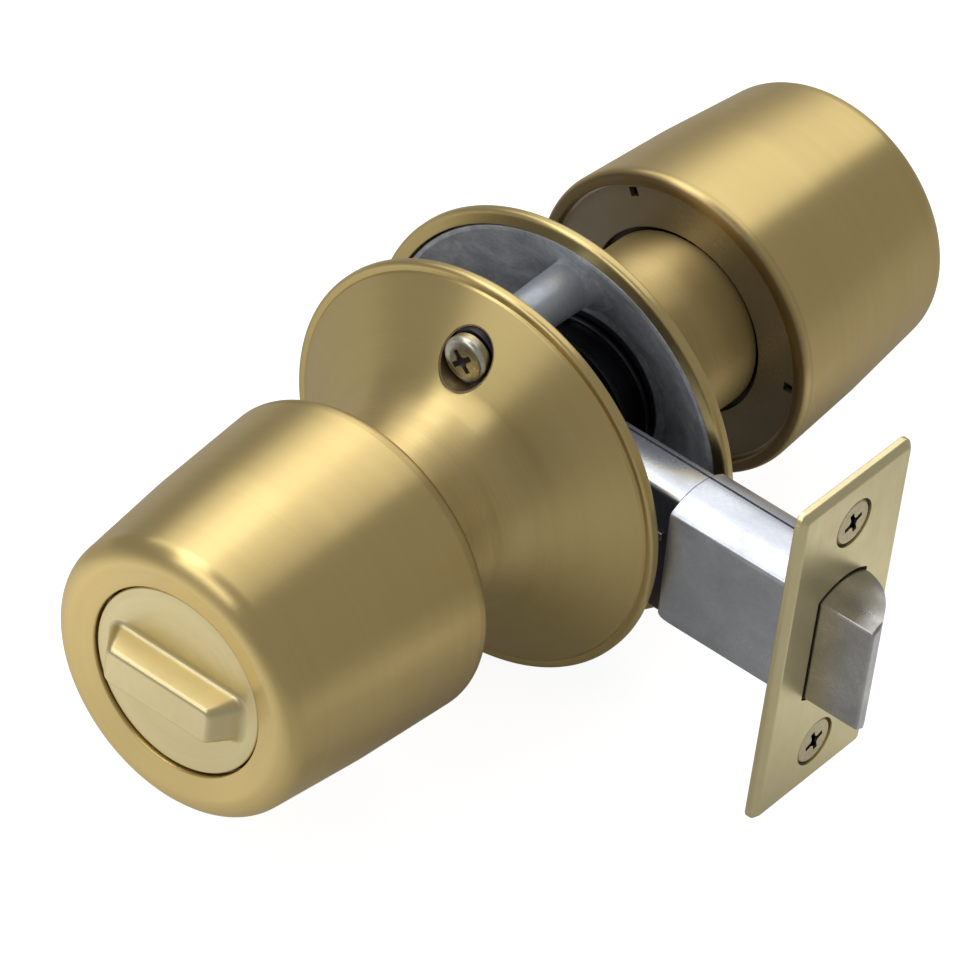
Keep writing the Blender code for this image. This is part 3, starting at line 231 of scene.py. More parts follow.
# Colours, bright and dark, of each finish's mottle
KNOB_BRASS = ((0.79, 0.61, 0.27), (0.70, 0.53, 0.22))
ROSE_BRASS = ((0.74, 0.58, 0.26), (0.65, 0.50, 0.21))
# Painted shade: dark brass for the wall inside a screw's pocket
POCKET_SHADED_BRASS = ((0.40, 0.30, 0.17), (0.22, 0.16, 0.09))
TURN_BRASS = ((0.86, 0.75, 0.44), (0.72, 0.60, 0.32))
PLATE_BRASS = ((0.93, 0.83, 0.50), (0.79, 0.68, 0.37))
PLATE_SCREW_BRASS = ((0.78, 0.69, 0.45), (0.56, 0.47, 0.28))
SCREW_ZINC = ((0.74, 0.74, 0.66), (0.50, 0.48, 0.36))
DISC_PLATING = ((0.66, 0.64, 0.58), (0.46, 0.44, 0.39))
CASTING_ZINC = ((0.78, 0.81, 0.85), (0.34, 0.36, 0.40))
CUP_ZINC = ((0.42, 0.43, 0.46), (0.25, 0.26, 0.29))
CASE_ZINC = ((0.70, 0.74, 0.80), (0.42, 0.45, 0.50))
# Painted shade: the housing's flat sides dark, as they lie under the rose's overhang
HOUSING_SHADED_ZINC = ((0.24, 0.24, 0.27), (0.12, 0.12, 0.15))
BOLT_STEEL = ((0.66, 0.65, 0.63), (0.36, 0.35, 0.335))
STEEL = ((0.55, 0.55, 0.56), (0.34, 0.34, 0.35))
# Painted shade: black for the parts that sit deep in shadow, in the knob's hole and in gaps
SHADE_BLACK = ((0.08, 0.08, 0.09), (0.04, 0.04, 0.05))

# Colours of the places that masks set apart
LIP_STAIN = (0.24, 0.17, 0.08)
# painted highlight: lighter brass on a rose's neck
NECK_HIGHLIGHT_BRASS = (0.90, 0.70, 0.32)
# the back disc darker inside a narrow lighter ring at its edge
DISC_INNER_TONE = (0.260, 0.225, 0.165)
# painted shade: a darker copy of the casting's grey on its posts
POST_SHADED_ZINC = (0.50, 0.54, 0.60)
# painted shade: black on the casting's collar, deep inside the rose
COLLAR_SHADE_BLACK = (0.05, 0.05, 0.06)
# painted highlight: a paler colour on the latch's arches, which face the lamps
ARCH_PAINTED_SHEEN = (0.78, 0.82, 0.90)

# Floor, light and camera
FLOOR_HEIGHT = -32.6
FLOOR_SIZE = 2.4
FLOOR_COLOUR = (0.45, 0.45, 0.45, 1.0)
FLOOR_GLOW = 0.90
# glow of the floor that only reflections see: painted light
FLOOR_REFLECTED = 0.08
WHITE = (1.0, 1.0, 1.0, 1.0)
POOLS = [
    # x, y and reach in metres, and strength: extra light that only reflections see
    (-0.045, -0.125, 0.11, 0.62),    # in the near knob's face
    (0.085, 0.035, 0.06, 0.40),      # in the faceplate
]
WORLD_SEEN = 1.0
WORLD_LIGHT = 0.30
LAMP_DISTANCE = 1.4
LAMPS = [
    # name, azimuth and elevation in degrees (0 is +X, 90 is +Y), width and height in metres, radiance
    ("left_back_box", 130, 52, 2.1, 1.2, 1.0),
    ("left_front_box", -110, 43, 1.05, 0.5, 2.1),
    ("top_box", -170, 63, 0.9, 0.6, 1.9),
]
LENS_LENGTH = 300
SENSOR_WIDTH = 36
VIEW_LIMIT = 10          # in metres, as the camera's place is
CAMERA_PLACE = Matrix((
    (0.770182, -0.475841, 0.424728, 0.48497),
    (0.629125, 0.457154, -0.628658, -0.72492),
    (0.104975, 0.751389, 0.651456, 0.74002),
    (0, 0, 0, 1),
))


def rounded_line(corners, closed=True):
    """The line through the corners (u, v, radius) as an array of (u, v), each corner rounded by its radius.

    An arc starts radius * tan(turn / 2) before its corner. Its points lie at even angles round a centre on
    the bisector, radius / cos(turn / 2) from the corner. Beside each arc the straight gets one more point,
    so that it is shaded flat.
    """
    count = len(corners)
    spots = np.array([corner[:2] for corner in corners], float)
    radii = [corner[2] for corner in corners]
    ahead = np.roll(spots, -1, axis=0) - spots
    lengths = np.linalg.norm(ahead, axis=1)
    ahead = ahead / lengths[:, None]
    reaches = []
    turns = []
    for index in range(count):
        cosine = float(np.clip(np.dot(ahead[index - 1], ahead[index]), -1.0, 1.0))
        turn = math.acos(cosine)
        ended = not closed and index in (0, count - 1)
        turns.append(0.0 if ended else turn)
        reaches.append(0.0 if ended else radii[index] * math.tan(turn / 2))
    points = []
    for index in range(count):
        here = spots[index]
        back = -ahead[index - 1]
        forth = ahead[index]
        first = not closed and index == 0
        last = not closed and index == count - 1
        room_back = 0.0 if first else lengths[index - 1] - reaches[index - 1] - reaches[index]
        room_forth = 0.0 if last else lengths[index] - reaches[index] - reaches[(index + 1) % count]
        pad_back = min(PAD_MOST, PAD_SHARE * room_back)
        pad_forth = min(PAD_MOST, PAD_SHARE * room_forth)
        reach = reaches[index]
        if pad_back > PAD_LEAST:
            points.append(here + back * (reach + pad_back))
        if reach > ARC_LEAST_REACH:
            bisector = (back + forth) / np.linalg.norm(back + forth)
            centre = here + bisector * radii[index] / math.cos(turns[index] / 2)
            start = here + back * reach - centre
            end = here + forth * reach - centre
            first_angle = math.atan2(start[1], start[0])
            sweep = math.atan2(start[0] * end[1] - start[1] * end[0], float(np.dot(start, end)))
            steps = max(ARC_LEAST_STEPS, math.ceil(abs(sweep) / ARC_STEP))
            angles = first_angle + sweep * np.linspace(0, 1, steps + 1)
            arc = centre + radii[index] * np.stack([np.cos(angles), np.sin(angles)], axis=1)
            points.extend(arc)
        else:
            points.append(here)
        if pad_forth > PAD_LEAST:
            points.append(here + forth * (reach + pad_forth))
    return np.array(points)


def add_object(name, data):
    """A new object in the scene for this mesh, lamp or camera."""
    made = bpy.data.objects.new(name, data)
    bpy.context.scene.collection.objects.link(made)
    return made


def surface(name, grid, closed_rows, closed_columns):
    """A closed mesh over a grid of points (rows, columns, 3) in mm.

    Each open side gets one face as its cap. All faces are turned round if the volume, the sum of a . (b x c)
    over the triangles, comes out negative.
    """
    rows, columns = grid.shape[:2]
    i, j = np.meshgrid(np.arange(rows if closed_rows else rows - 1),
                       np.arange(columns if closed_columns else columns - 1), indexing="ij")
    next_i = (i + 1) % rows
    next_j = (j + 1) % columns
    quads = np.stack([i * columns + j, i * columns + next_j, next_i * columns + next_j, next_i * columns + j],
                     axis=-1).reshape(-1, 4)
    numbers = np.arange(rows * columns).reshape(rows, columns)
    caps = []
    if not closed_rows:
        caps += [numbers[0, ::-1], numbers[-1]]
    if not closed_columns:
        caps += [numbers[:, 0], numbers[::-1, -1]]
    points = grid.reshape(-1, 3)
    a, b, c, d = (points[quads[:, k]] for k in range(4))
    volume = np.einsum("ij,ij->", a, np.cross(b, c)) + np.einsum("ij,ij->", a, np.cross(c, d))
    for cap in caps:
        ring = points[cap]
        hub = np.broadcast_to(ring[0], ring[1:-1].shape)
        volume += np.einsum("ij,ij->", hub, np.cross(ring[1:-1], ring[2:]))
    if volume < 0:
        quads = quads[:, ::-1]
        caps = [cap[::-1] for cap in caps]
    corners = np.concatenate([quads.ravel(), *caps])
    sizes = np.concatenate([np.full(len(quads), 4), [len(cap) for cap in caps]]).astype(int)
    mesh = bpy.data.meshes.new(name)
    mesh.vertices.add(len(points))
    mesh.vertices.foreach_set("co", (points * MM).ravel())
    mesh.loops.add(len(corners))
    mesh.loops.foreach_set("vertex_index", corners)
    mesh.polygons.add(len(sizes))
    mesh.polygons.foreach_set("loop_start", np.cumsum(sizes) - sizes)
    mesh.polygons.foreach_set("use_smooth", np.ones(len(sizes), bool))
    mesh.update(calc_edges=True)
    mesh.validate()
    mesh.set_sharp_from_angle(angle=SHARP_EDGE)
    return add_object(name, mesh)


def lathe(name, corners, side, closed=True, steps=TURN_STEPS, height=0.0, arc=None):
    """The rounded line turned round the knob axis: x = r cos t, y = side * depth, z = height + r sin t."""
    line = rounded_line(corners, closed)
    if arc is None:
        angles = np.linspace(0, 2 * math.pi, steps, endpoint=False)
    else:
        angles = np.linspace(arc[0], arc[1], steps)
    radius = line[:, :1]
    grid = np.stack([radius * np.cos(angles), side * line[:, 1:] * np.ones_like(angles)[None],
                     height + radius * np.sin(angles)], axis=-1)
    return surface(name, grid, closed, arc is None)


def pin(name, corners, side, height):
    """A small piece turned round an axis beside the knob's, at this height."""
    return lathe(name, corners, side, closed=False, steps=SMALL_TURN_STEPS, height=height)


def pin_x(name, corners, height):
    """The rounded line of (r, x) turned round a line along X: y = r cos t, z = height + r sin t."""
    line = rounded_line(corners, False)
    angles = np.linspace(0, 2 * math.pi, SMALL_TURN_STEPS, endpoint=False)
    radius = line[:, :1]
    grid = np.stack([line[:, 1:] * np.ones_like(angles)[None], radius * np.cos(angles),
                     height + radius * np.sin(angles)], axis=-1)
    return surface(name, grid, False, True)


def latch_outline(half, radius, corner):
    """Outline of (y, z): flat sides at y = +-half, joined by arches of this radius round the latch's axis."""
    top = math.acos(half / radius)
    angles = np.linspace(top + ARCH_MARGIN, math.pi - top - ARCH_MARGIN, ARCH_STEPS)
    arch = [(radius * math.cos(angle), radius * math.sin(angle), 0.0) for angle in angles]
    edge = math.sqrt(radius ** 2 - half ** 2)
    below = [(-y, -z, 0.0) for y, z, _ in arch]
    return rounded_line([(half, -edge, corner), (half, edge, corner), *arch, (-half, edge, corner),
                         (-half, -edge, corner), *below])


def box_outline(half_width, half_height, corner):
    """A rectangle round the origin with rounded corners."""
    return rounded_line([(half_width, -half_height, corner), (half_width, half_height, corner),
                         (-half_width, half_height, corner), (-half_width, -half_height, corner)])


def outline_normals(outline):
    """Inward normals of a closed outline that runs anticlockwise: its tangent turned a quarter turn left."""
    ahead = np.roll(outline, -1, axis=0) - outline
    ahead = ahead / np.linalg.norm(ahead, axis=1)[:, None]
    tangent = ahead + np.roll(ahead, 1, axis=0)
    tangent = tangent / np.linalg.norm(tangent, axis=1)[:, None]
    return np.stack([-tangent[:, 1], tangent[:, 0]], axis=1)


def bar_grid(outline, corners, closed):
    """Points (station, outline point, (along, u, v)): the outline moved in by the inset at each station."""
    line = rounded_line(corners, closed)
    normals = outline_normals(outline)
    across = outline[None] + line[:, 1][:, None, None] * normals[None]
    along = np.broadcast_to(line[:, 0][:, None, None], (*across.shape[:2], 1))
    return np.concatenate([along, across], axis=-1)


def bar(name, outline, corners):
    """An outline of (y, z) carried along X through the rounded line of (x, inset)."""
    return surface(name, bar_grid(outline, corners, False), False, True)


def prism(name, outline, low, high):
    """A flat outline of (x, y) carried straight up from one height to the other."""
    heights = np.array([low, high])[:, None, None]
    flat = np.broadcast_to(outline[None], (2, *outline.shape))
    return surface(name, np.concatenate([flat, np.broadcast_to(heights, (2, len(outline), 1))], axis=-1),
                   False, True)


def coil_grid(radius, wire, start, end, turns):
    """Points (along, round, (depth, across, up)) of a wire of circular section on a screw line.

    The wire's middle is radius * (cos, sin) of the turned angle, and its depth runs from start to end with
    flat first and last parts: depth = start + (end - start) * ease(t), where ease rises evenly between
    COIL_REST and 1 - COIL_REST.
    """
    t = np.linspace(0, 1, int(COIL_STEPS * turns) + 1)
    ease = np.clip((t - COIL_REST) / (1 - 2 * COIL_REST), 0, 1)
    depth = start + (end - start) * ease
    angle = 2 * math.pi * turns * t
    round_angle = np.linspace(0, 2 * math.pi, COIL_ROUND_STEPS, endpoint=False)
    reach = radius + wire * np.cos(round_angle)[None]
    return np.stack([depth[:, None] + wire * np.sin(round_angle)[None], reach * np.cos(angle)[:, None],
                     reach * np.sin(angle)[:, None]], axis=-1)


def box_cutter(low, high, turn=None):
    """A box between two corners in mm, as six faces over eight points."""
    low = np.array(low, float)
    high = np.array(high, float)
    ends = np.array([[x, y, z] for x in (0, 1) for y in (0, 1) for z in (0, 1)])
    points = (low + ends * (high - low)) * MM
    faces = [(0, 1, 3, 2), (4, 6, 7, 5), (0, 4, 5, 1), (2, 3, 7, 6), (0, 2, 6, 4), (1, 5, 7, 3)]
    mesh = bpy.data.meshes.new("cutter")
    mesh.from_pydata(points.tolist(), [], faces)
    if turn is not None:
        mesh.transform(turn)
    mesh.validate()
    return add_object("cutter", mesh)


def carve(piece, cutter, operation="DIFFERENCE"):
    """Cuts or joins at once and marks the new edges sharp; the cutter goes."""
    step = piece.modifiers.new("carve", "BOOLEAN")
    step.operation = operation
    step.solver = "EXACT"
    step.object = cutter
    graph = bpy.context.evaluated_depsgraph_get()
    carved = bpy.data.meshes.new_from_object(piece.evaluated_get(graph))
    piece.modifiers.remove(step)
    old = piece.data
    piece.data = carved
    carved.name = piece.name
    bpy.data.meshes.remove(old)
    bpy.data.objects.remove(cutter, do_unlink=True)
    carved.polygons.foreach_set("use_smooth", np.ones(len(carved.polygons), bool))
    carved.set_sharp_from_angle(angle=SHARP_EDGE)
    return piece


# Materials
def node(tree, kind, **settings):
    """A node of this kind, with its settings."""
    made = tree.nodes.new(kind)
    for key, value in settings.items():
        setattr(made, key, value)
    return made


def maths(tree, operation, first, second=None, clamp=False):
    """The result of one operation on numbers or sockets."""
    made = node(tree, "ShaderNodeMath", operation=operation, use_clamp=clamp)
    for index, value in enumerate((first, second)):
        if value is None:
            continue
        if isinstance(value, (int, float)):
            made.inputs[index].default_value = value
        else:
            tree.links.new(value, made.inputs[index])
    return made.outputs[0]


def axis_distance(tree, x, z):
    """Distance from the knob axis: the root of x * x + z * z."""
    squares = maths(tree, "ADD", maths(tree, "MULTIPLY", x, x), maths(tree, "MULTIPLY", z, z))
    return maths(tree, "SQRT", squares)


def noise(tree, place, detail, scale=None, dimensions="3D"):
    """Noise read at a place; without a scale, the scale's socket is left to be linked."""
    made = node(tree, "ShaderNodeTexNoise", noise_dimensions=dimensions)
    made.inputs["Detail"].default_value = detail
    if scale is not None:
        made.inputs["Scale"].default_value = scale
    tree.links.new(place, made.inputs["Vector"])
    return made


def grain_group(name, sizes):
    """A node group: a place and these sizes (name, value) go in, a fine and a broad pattern come out."""
    tree = bpy.data.node_groups.new(name, "ShaderNodeTree")
    tree.interface.new_socket("Vector", in_out="INPUT", socket_type="NodeSocketVector")
    for label, value in sizes:
        socket = tree.interface.new_socket(label, in_out="INPUT", socket_type="NodeSocketFloat")
        socket.default_value = value
    for label in ("Fine", "Broad"):
        tree.interface.new_socket(label, in_out="OUTPUT", socket_type="NodeSocketFloat")
    return tree, tree.nodes.new("NodeGroupInput"), tree.nodes.new("NodeGroupOutput")


def turned_grain():
    """Fine lines that run round the knob axis.

    The noise is read at (x / r * length, y * lines, z / r * length, r * lines), so that it changes fast with
    depth and radius and slowly round the axis.
    """
    tree, given, out = grain_group("turned_grain", [("Lines", 3600.0), ("Length", 2.4)])
    split = node(tree, "ShaderNodeSeparateXYZ")
    tree.links.new(given.outputs["Vector"], split.inputs[0])
    x, y, z = split.outputs
    lines = given.outputs["Lines"]
    length = given.outputs["Length"]
    radius = axis_distance(tree, x, z)
    safe = maths(tree, "MAXIMUM", radius, LEAST_RADIUS)
    place = node(tree, "ShaderNodeCombineXYZ")
    tree.links.new(maths(tree, "MULTIPLY", maths(tree, "DIVIDE", x, safe), length), place.inputs[0])
    tree.links.new(maths(tree, "MULTIPLY", y, lines), place.inputs[1])
    tree.links.new(maths(tree, "MULTIPLY", maths(tree, "DIVIDE", z, safe), length), place.inputs[2])
    for label, detail, scale in (("Fine", 3.0, 1.0), ("Broad", 2.0, 0.12)):
        pattern = noise(tree, place.outputs[0], detail, scale, dimensions="4D")
        tree.links.new(maths(tree, "MULTIPLY", radius, lines), pattern.inputs["W"])
        tree.links.new(pattern.outputs["Fac"], out.inputs[label])
    return tree


def straight_grain():
    """Fine lines along Z for sheet brushed lengthwise: noise at (x * lines, y * lines, z * along)."""
    tree, given, out = grain_group("straight_grain", [("Lines", 2600.0), ("Along", 120.0)])
    split = node(tree, "ShaderNodeSeparateXYZ")
    tree.links.new(given.outputs["Vector"], split.inputs[0])
    place = node(tree, "ShaderNodeCombineXYZ")
    for index, label in enumerate(("Lines", "Lines", "Along")):
        scaled = maths(tree, "MULTIPLY", split.outputs[index], given.outputs[label])
        tree.links.new(scaled, place.inputs[index])
    fine = noise(tree, place.outputs[0], detail=3.0, scale=1.0)
    broad = noise(tree, given.outputs["Vector"], detail=4.0, scale=260.0)
    tree.links.new(fine.outputs["Fac"], out.inputs["Fine"])
    tree.links.new(broad.outputs["Fac"], out.inputs["Broad"])
    return tree


def cast_grain():
    """Mottle of a plated casting: soft blotches, and small grains between them."""
    tree, given, out = grain_group("cast_grain", [("Blotch", 180.0), ("Grain", 1500.0)])
    broad = noise(tree, given.outputs["Vector"], detail=5.0)
    broad.inputs["Roughness"].default_value = 0.6
    broad.inputs["Distortion"].default_value = 0.6
    tree.links.new(given.outputs["Blotch"], broad.inputs["Scale"])
    cells = node(tree, "ShaderNodeTexVoronoi")
    tree.links.new(given.outputs["Vector"], cells.inputs["Vector"])
    tree.links.new(given.outputs["Grain"], cells.inputs["Scale"])
    tree.links.new(cells.outputs["Distance"], out.inputs["Fine"])
    tree.links.new(broad.outputs["Fac"], out.inputs["Broad"])
    return tree


GRAINS = {"turned": turned_grain(), "straight": straight_grain(), "cast": cast_grain()}


def band_mask(tree, value, low, high):
    """1 below low, 0 above high, even in between."""
    made = node(tree, "ShaderNodeMapRange")
    made.inputs["From Min"].default_value = low
    made.inputs["From Max"].default_value = high
    made.inputs["To Min"].default_value = 1.0
    made.inputs["To Max"].default_value = 0.0
    tree.links.new(value, made.inputs["Value"])
    return made.outputs[0]


def mix_colour(tree, factor, first, second):
    """From the first colour at factor 0 to the second at 1; each may be a number, a colour or a socket."""
    made = node(tree, "ShaderNodeMix", data_type="RGBA")
    for socket, value in ((made.inputs[0], factor), (made.inputs[6], first), (made.inputs[7], second)):
        if isinstance(value, (int, float)):
            socket.default_value = value
        elif isinstance(value, tuple):
            socket.default_value = (*value, 1.0)
        else:
            tree.links.new(value, socket)
    return made.outputs[2]


def measure(tree, kind, place):
    """What a mask reads at a place, in metres.

    "depth" is |y|, and "radius" is the distance from the knob axis. "lip" is how far a point lies outside the
    lip that holds the back disc, the greater of depth - LIP_DEPTH and radius - LIP_RADIUS. "neck" is how far
    it lies before the neck of the rose, NECK_START - depth.
    """
    split = node(tree, "ShaderNodeSeparateXYZ")
    tree.links.new(place, split.inputs[0])
    x, y, z = split.outputs
    if kind == "radius":
        return axis_distance(tree, x, z)
    depth = maths(tree, "ABSOLUTE", y)
    if kind == "depth":
        return depth
    if kind == "neck":
        return maths(tree, "SUBTRACT", NECK_START, depth)
    return maths(tree, "MAXIMUM", maths(tree, "SUBTRACT", depth, LIP_DEPTH),
                 maths(tree, "SUBTRACT", axis_distance(tree, x, z), LIP_RADIUS))


def metal(name, colours, rough, grain="cast", rough_spread=0.12, colour_spread=0.5, bump=0.02, masks=(),
          metallic=1.0, grain_values=(), brushed=0.0, fine_share=0.45):
    """A metal with grain, mottled between its two colours, and the more polished the brighter.

    Each mask is (kind, low, high, colour, rough), with low and high in metres. It sets a place apart: fully
    where measure() gives less than low, and not at all where it gives more than high.
    """
    colour, dark = colours
    material = bpy.data.materials.new(name)
    material.use_nodes = True
    tree = material.node_tree
    shader = tree.nodes["Principled BSDF"]
    shader.inputs["Metallic"].default_value = metallic
    place = node(tree, "ShaderNodeTexCoord").outputs["Object"]
    lines = node(tree, "ShaderNodeGroup")
    lines.node_tree = GRAINS[grain]
    tree.links.new(place, lines.inputs["Vector"])
    for key, value in grain_values:
        lines.inputs[key].default_value = value
    fine = lines.outputs["Fine"]
    broad = lines.outputs["Broad"]
    mixed = maths(tree, "ADD", maths(tree, "MULTIPLY", fine, fine_share),
                  maths(tree, "MULTIPLY", broad, 1 - fine_share))
    swing = maths(tree, "SUBTRACT", mixed, 0.5)
    factor = maths(tree, "ADD", maths(tree, "MULTIPLY", swing, 2 * colour_spread), 0.5, clamp=True)
    tint = mix_colour(tree, factor, dark, colour)
    roughness = maths(tree, "ADD", maths(tree, "MULTIPLY", swing, -2 * rough_spread), rough)
    # masks set real stains and also painted highlight and painted shade into the colour
    for kind, low, high, mask_colour, mask_rough in masks:
        wobble = maths(tree, "MULTIPLY", maths(tree, "SUBTRACT", broad, 0.5), MASK_WOBBLE * abs(high - low))
        mask = band_mask(tree, maths(tree, "ADD", measure(tree, kind, place), wobble), low, high)
        mottled = mix_colour(tree, factor, tuple(MASK_MOTTLE_DARKEST * part for part in mask_colour), mask_colour)
        tint = mix_colour(tree, mask, tint, mottled)
        roughness = maths(tree, "ADD", roughness, maths(tree, "MULTIPLY", mask, mask_rough - rough))
    tree.links.new(tint, shader.inputs["Base Color"])
    tree.links.new(roughness, shader.inputs["Roughness"])
    relief = node(tree, "ShaderNodeBump")
    relief.inputs["Strength"].default_value = RELIEF_STRENGTH
    relief.inputs["Distance"].default_value = bump * MM
    tree.links.new(fine, relief.inputs["Height"])
    tree.links.new(relief.outputs[0], shader.inputs["Normal"])
    if brushed:
        # Grooves run round the knob axis, so the gloss spreads along it.
        shader.inputs["Anisotropic"].default_value = brushed
        shader.inputs["Anisotropic Rotation"].default_value = GROOVE_TURN
        lay = node(tree, "ShaderNodeTangent", direction_type="RADIAL", axis="Y")
        tree.links.new(lay.outputs[0], shader.inputs["Tangent"])
    return material


LOOKS = {
    "knob": metal("brushed_brass_knob", KNOB_BRASS, 0.33, grain="turned", bump=0.010, rough_spread=0.05,
                  brushed=0.78, masks=[("lip", -0.0003, 0.0003, LIP_STAIN, 0.38)]),
    # the neck's lighter brass is a painted highlight; its roughness is real
    "rose": metal("brushed_brass_rose", ROSE_BRASS, 0.33, grain="turned", bump=0.012, rough_spread=0.05,
                  brushed=0.75, masks=[("neck", -0.002, 0.002, NECK_HIGHLIGHT_BRASS, 0.50)]),
    "pocket": metal("shaded_brass_pocket", POCKET_SHADED_BRASS, 0.42, bump=0.004),
    "turn": metal("pale_brass_turn", TURN_BRASS, 0.42, grain="turned", bump=0.008, colour_spread=0.3),
    "disc": metal("dark_plated_disc", DISC_PLATING, 0.36, bump=0.002, metallic=0.65,
                  colour_spread=0.7, fine_share=0.1, grain_values=[("Blotch", 90.0)],
                  masks=[("radius", 0.02215, 0.02230, DISC_INNER_TONE, 0.30)]),
    "plate": metal("brushed_brass_plate", PLATE_BRASS, 0.36, grain="straight", bump=0.01),
    "plate_screw": metal("brass_plated_screw", PLATE_SCREW_BRASS, 0.38, bump=0.01),
    "screw": metal("yellow_zinc_screw", SCREW_ZINC, 0.30, bump=0.012, grain_values=[("Blotch", 500.0)]),
    # masks: painted shade on the posts, and painted black shade on the collar deep inside
    "casting": metal("plated_casting", CASTING_ZINC, 0.48, bump=0.03, metallic=0.5,
                     colour_spread=1.3, fine_share=0.12, grain_values=[("Blotch", 150.0)],
                     masks=[("depth", 0.0074, 0.0078, POST_SHADED_ZINC, 0.38),
                            ("radius", 0.0128, 0.0131, COLLAR_SHADE_BLACK, 0.5)]),
    # these blacks are painted shade for parts deep in the hole and in gaps
    "shank": metal("shade_black_shank", SHADE_BLACK, 0.45, grain="turned"),
    "ring": metal("shade_black_ring", SHADE_BLACK, 0.45, grain="turned"),
    "cup": metal("cup_casting", CUP_ZINC, 0.45),
    # the arches' paler colour is a painted highlight
    "case": metal("bright_zinc_case", CASE_ZINC, 0.32, bump=0.004, metallic=0.78,
                  colour_spread=0.9, fine_share=0.12, grain_values=[("Blotch", 130.0)],
                  masks=[("depth", 0.00600, 0.00618, ARCH_PAINTED_SHEEN, 0.30)]),
    # the housing's dark grey is painted shade, and its arches have the painted highlight
    "housing": metal("shaded_zinc_housing", HOUSING_SHADED_ZINC, 0.34, bump=0.004, metallic=0.78,
                     colour_spread=0.7, fine_share=0.12,
                     masks=[("depth", 0.00400, 0.00418, ARCH_PAINTED_SHEEN, 0.30)]),
    "bolt": metal("sintered_bolt", BOLT_STEEL, 0.30, bump=0.008, colour_spread=0.9,
                  fine_share=0.15, grain_values=[("Grain", 2600.0), ("Blotch", 160.0)]),
    "spring": metal("spring_steel", STEEL, 0.30, bump=0.006),
    "cut_steel": metal("plated_steel", STEEL, 0.34, bump=0.01),
}


def dress(piece, look, body, part):
    """Gives a piece its finish, the body that it moves with, and the solid that it stands for."""
    piece.data.materials.clear()
    piece.data.materials.append(LOOKS[look])
    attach(piece, body)
    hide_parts(part)


# Turned pieces of both sides
def cut_pockets(rose):
    """Cuts the round holes for the through screws' heads."""
    for height in (SCREW_OFFSET, -SCREW_OFFSET):
        carve(rose, pin("cutter", POCKET_LINE, INSIDE, height))


# the wall's dark brass is painted shade in the pocket round the screw head
def pocket_wall(name, height):
    """A thin wall round a screw's pocket, whose depth is measured from the slope of the rose's face.

    x = r cos t, z = height + r sin t, and depth = line's depth + the face's, which is outer depth +
    (outer radius - distance from the knob axis) * slope.
    """
    line = rounded_line(POCKET_WALL_LINE)
    outer_radius, outer_depth = ROSE_LINE[2][:2]
    inner_radius, inner_depth = ROSE_LINE[1][:2]
    slope = (inner_depth - outer_depth) / (outer_radius - inner_radius)
    angles = np.linspace(0, 2 * math.pi, SMALL_TURN_STEPS, endpoint=False)
    x = line[:, :1] * np.cos(angles)
    z = height + line[:, :1] * np.sin(angles)
    face = outer_depth + (outer_radius - np.hypot(x, z)) * slope
    return surface(name, np.stack([x, -(face + line[:, 1:]), z], axis=-1), True, True)


def notched_disc(name, side):
    """The disc in a knob's back, with square notches evenly round it."""
    disc = lathe(name, BACK_DISC_LINE, side)
    half = NOTCH / 2
    low, high = sorted(side * depth for depth in NOTCH_CUT)
    for index in range(NOTCH_COUNT):
        turn = Matrix.Rotation(2 * math.pi * index / NOTCH_COUNT, 4, "Y")
        carve(disc, box_cutter((NOTCH_RADIUS - half, low, -half), (NOTCH_RADIUS + half, high, half), turn))
    return disc


def square_shank(name, side):
    """The turned shank with the square hole for the spindle in its floor."""
    shank = lathe(name, SHANK_LINE, side, closed=False)
    half = SHANK_SQUARE / 2
    low, high = sorted(side * depth for depth in SHANK_SQUARE_CUT)
    return carve(shank, box_cutter((-half, low, -half), (half, high, half)))


def spring_ring(name, side):
    """The ring is open at the bottom inside and at the top outside."""
    middle = side * math.pi / 2
    gap = RING_GAP / (2 * RING_LINE[1][0])
    return lathe(name, RING_LINE, side, arc=(middle + gap, middle + 2 * math.pi - gap))


def return_coil(name, side):
    """The return spring's coil, with its screw line along the knob axis."""
    grid = coil_grid(COIL_RADIUS, COIL_WIRE, COIL_START, COIL_END, COIL_TURNS)
    turned = np.stack([grid[..., 1], side * grid[..., 0], -side * grid[..., 2]], axis=-1)
    return surface(name, turned, False, True)


def casting(name, side):
    """The dished casting: the inside one is cut for its screw seats, the outside one has two posts."""
    piece = lathe(name, CHASSIS_LINE, side)
    for height in (SCREW_OFFSET, -SCREW_OFFSET):
        if side == INSIDE:
            for line in (SEAT_CUT_LINE, SEAT_BORE_LINE):
                carve(piece, pin("cutter", line, side, height))
        else:
            bore = pin("cutter", POST_BORE_LINE, side, height)
            post = pin("cutter", POST_LINE, side, height)
            carve(post, bore)
            carve(piece, post, "UNION")
    if side == OUTSIDE:
        # the posts' feet stay behind the rose
        carve(piece, lathe("cutter", POST_TRIM_LINE, side))
    return piece


